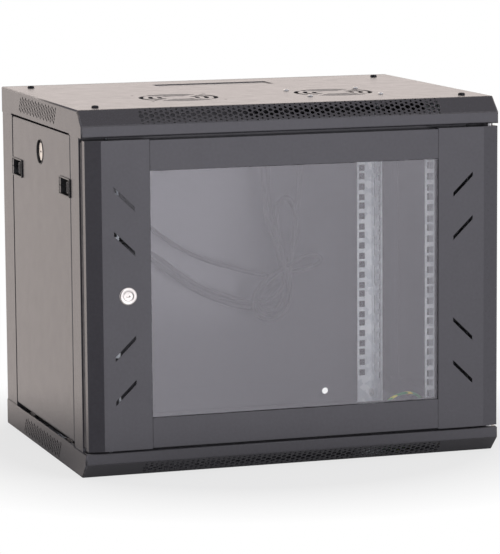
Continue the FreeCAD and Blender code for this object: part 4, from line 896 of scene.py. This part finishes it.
SLIDER_STARTS, SLIDER_LONG, SLIDER_ZS = {"front": -150.7, "rear": 121.0}, 22, (382.8, 399.2)
THUMB_LONG, RIBS, RIB_STEP, RIB_WIDE = 9, 4, 2, 0.9


def latch_frame(name, side, end):
    middle, shell = LATCH_YS[end], bmesh.new()
    rim(shell, (side * PANEL_X, middle, LATCH_Z), Y, Z, X * side, 28, 13, 2.5,
        [(0.3, 0), (0, 0.5), (0, 1.3), (0.25, 1.8), (0.7, 2.0), (1.6, 2.0), (1.9, 1.85),
         (2.1, 1.5), (2.1, -9), (1.25, -9), (1.25, 0)])
    for z_span in ((380.4, 390.7), (391.3, 401.6)):
        side_block(shell, side, 300.4, 290, (middle + 18.5, middle + 26), z_span, 0.5)
    show(f"latch_frame_{name}_{end}", finished(shell, f"latch_frame_{name}_{end}"),
         f"panel_{name}", PLASTIC, [f"latch_housing_{name}_{end}"])


def latch_bolt(name, side, end):
    """The slider reaches as far as the solid that it replaces."""
    low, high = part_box(f"latch_slider_{name}_{end}")
    start, shell = SLIDER_STARTS[end], bmesh.new()
    side_block(shell, side, 292.5, 285.5, (start, start + SLIDER_LONG), SLIDER_ZS, 0.6)
    side_block(shell, side, 299.3, 290, (start, start + THUMB_LONG), SLIDER_ZS, 0.8)
    for k in range(RIBS):
        y = start + 1.2 + RIB_STEP * k
        side_block(shell, side, 299.8, 298.5, (y, y + RIB_WIDE), (384, 398), 0.25, 1)
    y_span = (low.y / MM, start + SLIDER_LONG) if end == "front" else (start, high.y / MM)
    side_block(shell, side, 285.5, 283.5, y_span, (385, 397), 0.4)
    show(f"latch_bolt_{name}_{end}", finished(shell, f"latch_bolt_{name}_{end}"),
         f"latch_{name}_{end}", PLASTIC, [f"latch_slider_{name}_{end}"])


for name, side in SIDES:
    for end in LATCH_YS:
        latch_frame(name, side, end)
        latch_bolt(name, side, end)


# Mains plug: moulded grip, ribbed tapering relief and two pins with sleeves.

PLUG_X, PLUG_Y, GRIP_TOP = -186, 167, 391
# Height and half sizes along X and Y, from the cord down to the face of the plug.
PLUG_SECTIONS = ((404, 3.5, 3.5), (402.5, 4.3, 4.3), (401.5, 3.9, 3.9), (399, 4.7, 4.7),
                 (398, 4.2, 4.2), (395.5, 5.2, 5.1), (394.5, 4.7, 4.6), (392, 6.0, 5.6),
                 (391, 5.6, 5.2), (387, 8.6, 6.9), (382, 11.4, 8.6), (377, 12.2, 9.2),
                 (373, 11.7, 8.7), (368, 12.0, 9.0), (362, 12.9, 9.8), (359.5, 12.9, 9.8),
                 (358, 12.2, 9.1))


def plug_row(shell, level, half_x, half_y, count=28):
    """One ring of the plug: round on the relief, nearly square on the grip."""
    power = 0.62 if level < GRIP_TOP else 1.0
    row = []
    for k in range(count):
        angle = 2 * math.pi * k / count
        u, v = math.cos(angle), math.sin(angle)
        row.append(shell.verts.new(((PLUG_X + half_x * math.copysign(abs(u) ** power, u)) * MM,
                                    (PLUG_Y + half_y * math.copysign(abs(v) ** power, v)) * MM,
                                    level * MM)))
    return row


def mains_plug():
    shell = bmesh.new()
    rows = [plug_row(shell, *section) for section in PLUG_SECTIONS]
    skin(shell, rows)
    shell.faces.new(rows[0])
    shell.faces.new(rows[-1])
    return show("mains_plug", finished(shell, "mains_plug", 50), "cabinet",
                CORD_BLACK, ["fan_plug"])


def plug_pins():
    shell = bmesh.new()
    for x in (PLUG_X - 9.5, PLUG_X + 9.5):
        turned(shell, (x, PLUG_Y, 358.2), -Z, [(2.0, 0), (2.0, 9)], 18)
        turned(shell, (x, PLUG_Y, 349.2), -Z, [(1.9, 0), (2.35, 0), (2.35, 8.4), (2.1, 9.4),
                                               (1.4, 10.1), (0, 10.2)], 18)
    return show("plug_pins", finished(shell, "plug_pins"), "cabinet", NICKEL)


plug, pins = mains_plug(), plug_pins()


# Stage: a pale floor, a white surround and soft lamps.

FLOOR_REACH, FLOOR_GREY = 1.7, (0.42, 0.42, 0.42)


def pale_floor():
    """Grey near the cabinet, white far out, and clear to distant mirror rays."""
    mesh = bpy.data.meshes.new("floor")
    mesh.from_pydata([(FLOOR_REACH * math.cos(math.pi * k / 32),
                       FLOOR_REACH * math.sin(math.pi * k / 32), 0) for k in range(64)],
                     [], [tuple(range(64))])
    floor = bpy.data.objects.new("floor", mesh)
    scene.collection.objects.link(floor)
    ground = Nodes(bpy.data.materials.new("floor"))
    ground.set(Base_Color=FLOOR_GREY, Roughness=0.9)
    ground.shader.inputs["Specular IOR Level"].default_value = 0.1
    rays = ground.add("LightPath").outputs
    far = ground.add("VectorMath", {0: ground.place()}, operation="LENGTH").outputs["Value"]
    direct = ground.maths("MAXIMUM", rays["Is Camera Ray"], rays["Is Transmission Ray"])
    pale = ground.maths("MULTIPLY", direct, ground.ramp(far, 0.72, 1.0, 0.36, 0.58))
    mirror = ground.maths("MAXIMUM", rays["Is Glossy Ray"], rays["Is Singular Ray"])
    ended = ground.maths("MULTIPLY", mirror, ground.ramp(far, 0.0, 1.0, 0.30, 0.6))
    white = ground.add("Emission", {"Color": (1, 1, 1, 1), "Strength": 1.0}).outputs[0]
    seen = ground.add("MixShader", {0: pale, 1: ground.shader.outputs[0], 2: white}).outputs[0]
    clear = ground.add("BsdfTransparent").outputs[0]
    ground.finish(ground.add("MixShader", {0: ended, 1: seen, 2: clear}), "Material Output")
    mesh.materials.append(ground.material)


def studio_world():
    """A white room: a soft box ahead of the door, a dark stretch where the camera stands."""
    scene.world = bpy.data.worlds.new("studio")
    room = Nodes(scene.world)
    toward = room.add("TexCoord").outputs["Generated"]

    def patch(x, y, z, outer, inner, low, high):
        """A soft round patch of the surround: low outside it, high inside."""
        dot = room.add("VectorMath", {0: toward, 1: Vector((x, y, z)).normalized()},
                       operation="DOT_PRODUCT").outputs["Value"]
        return room.ramp(dot, low, high, math.cos(math.radians(outer)),
                         math.cos(math.radians(inner)), interpolation_type="SMOOTHSTEP")

    soft_box = room.maths("ADD", patch(0.16, -0.98, 0.06, 24, 6, 0.0, 0.95), 0.9)
    dark = patch(-0.24, -0.96, -0.10, 27, 18, 1.0, 0.05)
    under = patch(0, 0, -1.0, 76, 48, 1.0, 0.3)
    ceiling = patch(0.2, -0.1, 1.0, 50, 20, 1.0, 0.55)
    glow = patch(0.31, 0.94, 0.20, 45, 12, 1.0, 1.25)
    depth = room.add("SeparateXYZ", {0: toward}).outputs["Y"]
    tint = room.mix(room.ramp(depth, 0.0, 1.0, -0.2, 0.5), (0.985, 0.965, 1.06),
                    (1.17, 1.05, 1.00))

    rays = room.add("LightPath").outputs
    mirrored = room.maths("MAXIMUM", rays["Is Glossy Ray"], rays["Is Transmission Ray"])
    mirrored = room.maths("MAXIMUM", mirrored, rays["Is Singular Ray"])
    strength = room.ramp(mirrored, 0.7, 1.0, 0.0, 1.0)
    for factor in (glow, ceiling, under, dark, soft_box):
        strength = room.maths("MULTIPLY", strength, factor)
    around = room.add("Background", {"Color": tint, "Strength": strength}).outputs[0]
    white = room.add("Background", {"Color": (1, 1, 1, 1), "Strength": 1.0}).outputs[0]
    room.finish(room.add("MixShader", {0: rays["Is Camera Ray"], 1: around, 2: white}),
                "World Output")


def lamp(name, place, size, watts):
    """A square lamp that faces the cabinet and that no surface mirrors."""
    made = bpy.data.objects.new(name, bpy.data.lights.new(name, "AREA"))
    made.data.size = size
    made.data.energy = watts
    place, target = Vector(place), Vector((0, 0, 0.25))
    made.matrix_world = (Matrix.Translation(place)
                         @ (target - place).to_track_quat("-Z", "Y").to_matrix().to_4x4())
    made.visible_glossy = False
    scene.collection.objects.link(made)


pale_floor()
studio_world()
lamp("key", (-0.6, -3.2, 0.75), 2.0, 78)
lamp("fill", (1.7, -2.2, 1.9), 1.4, 25)
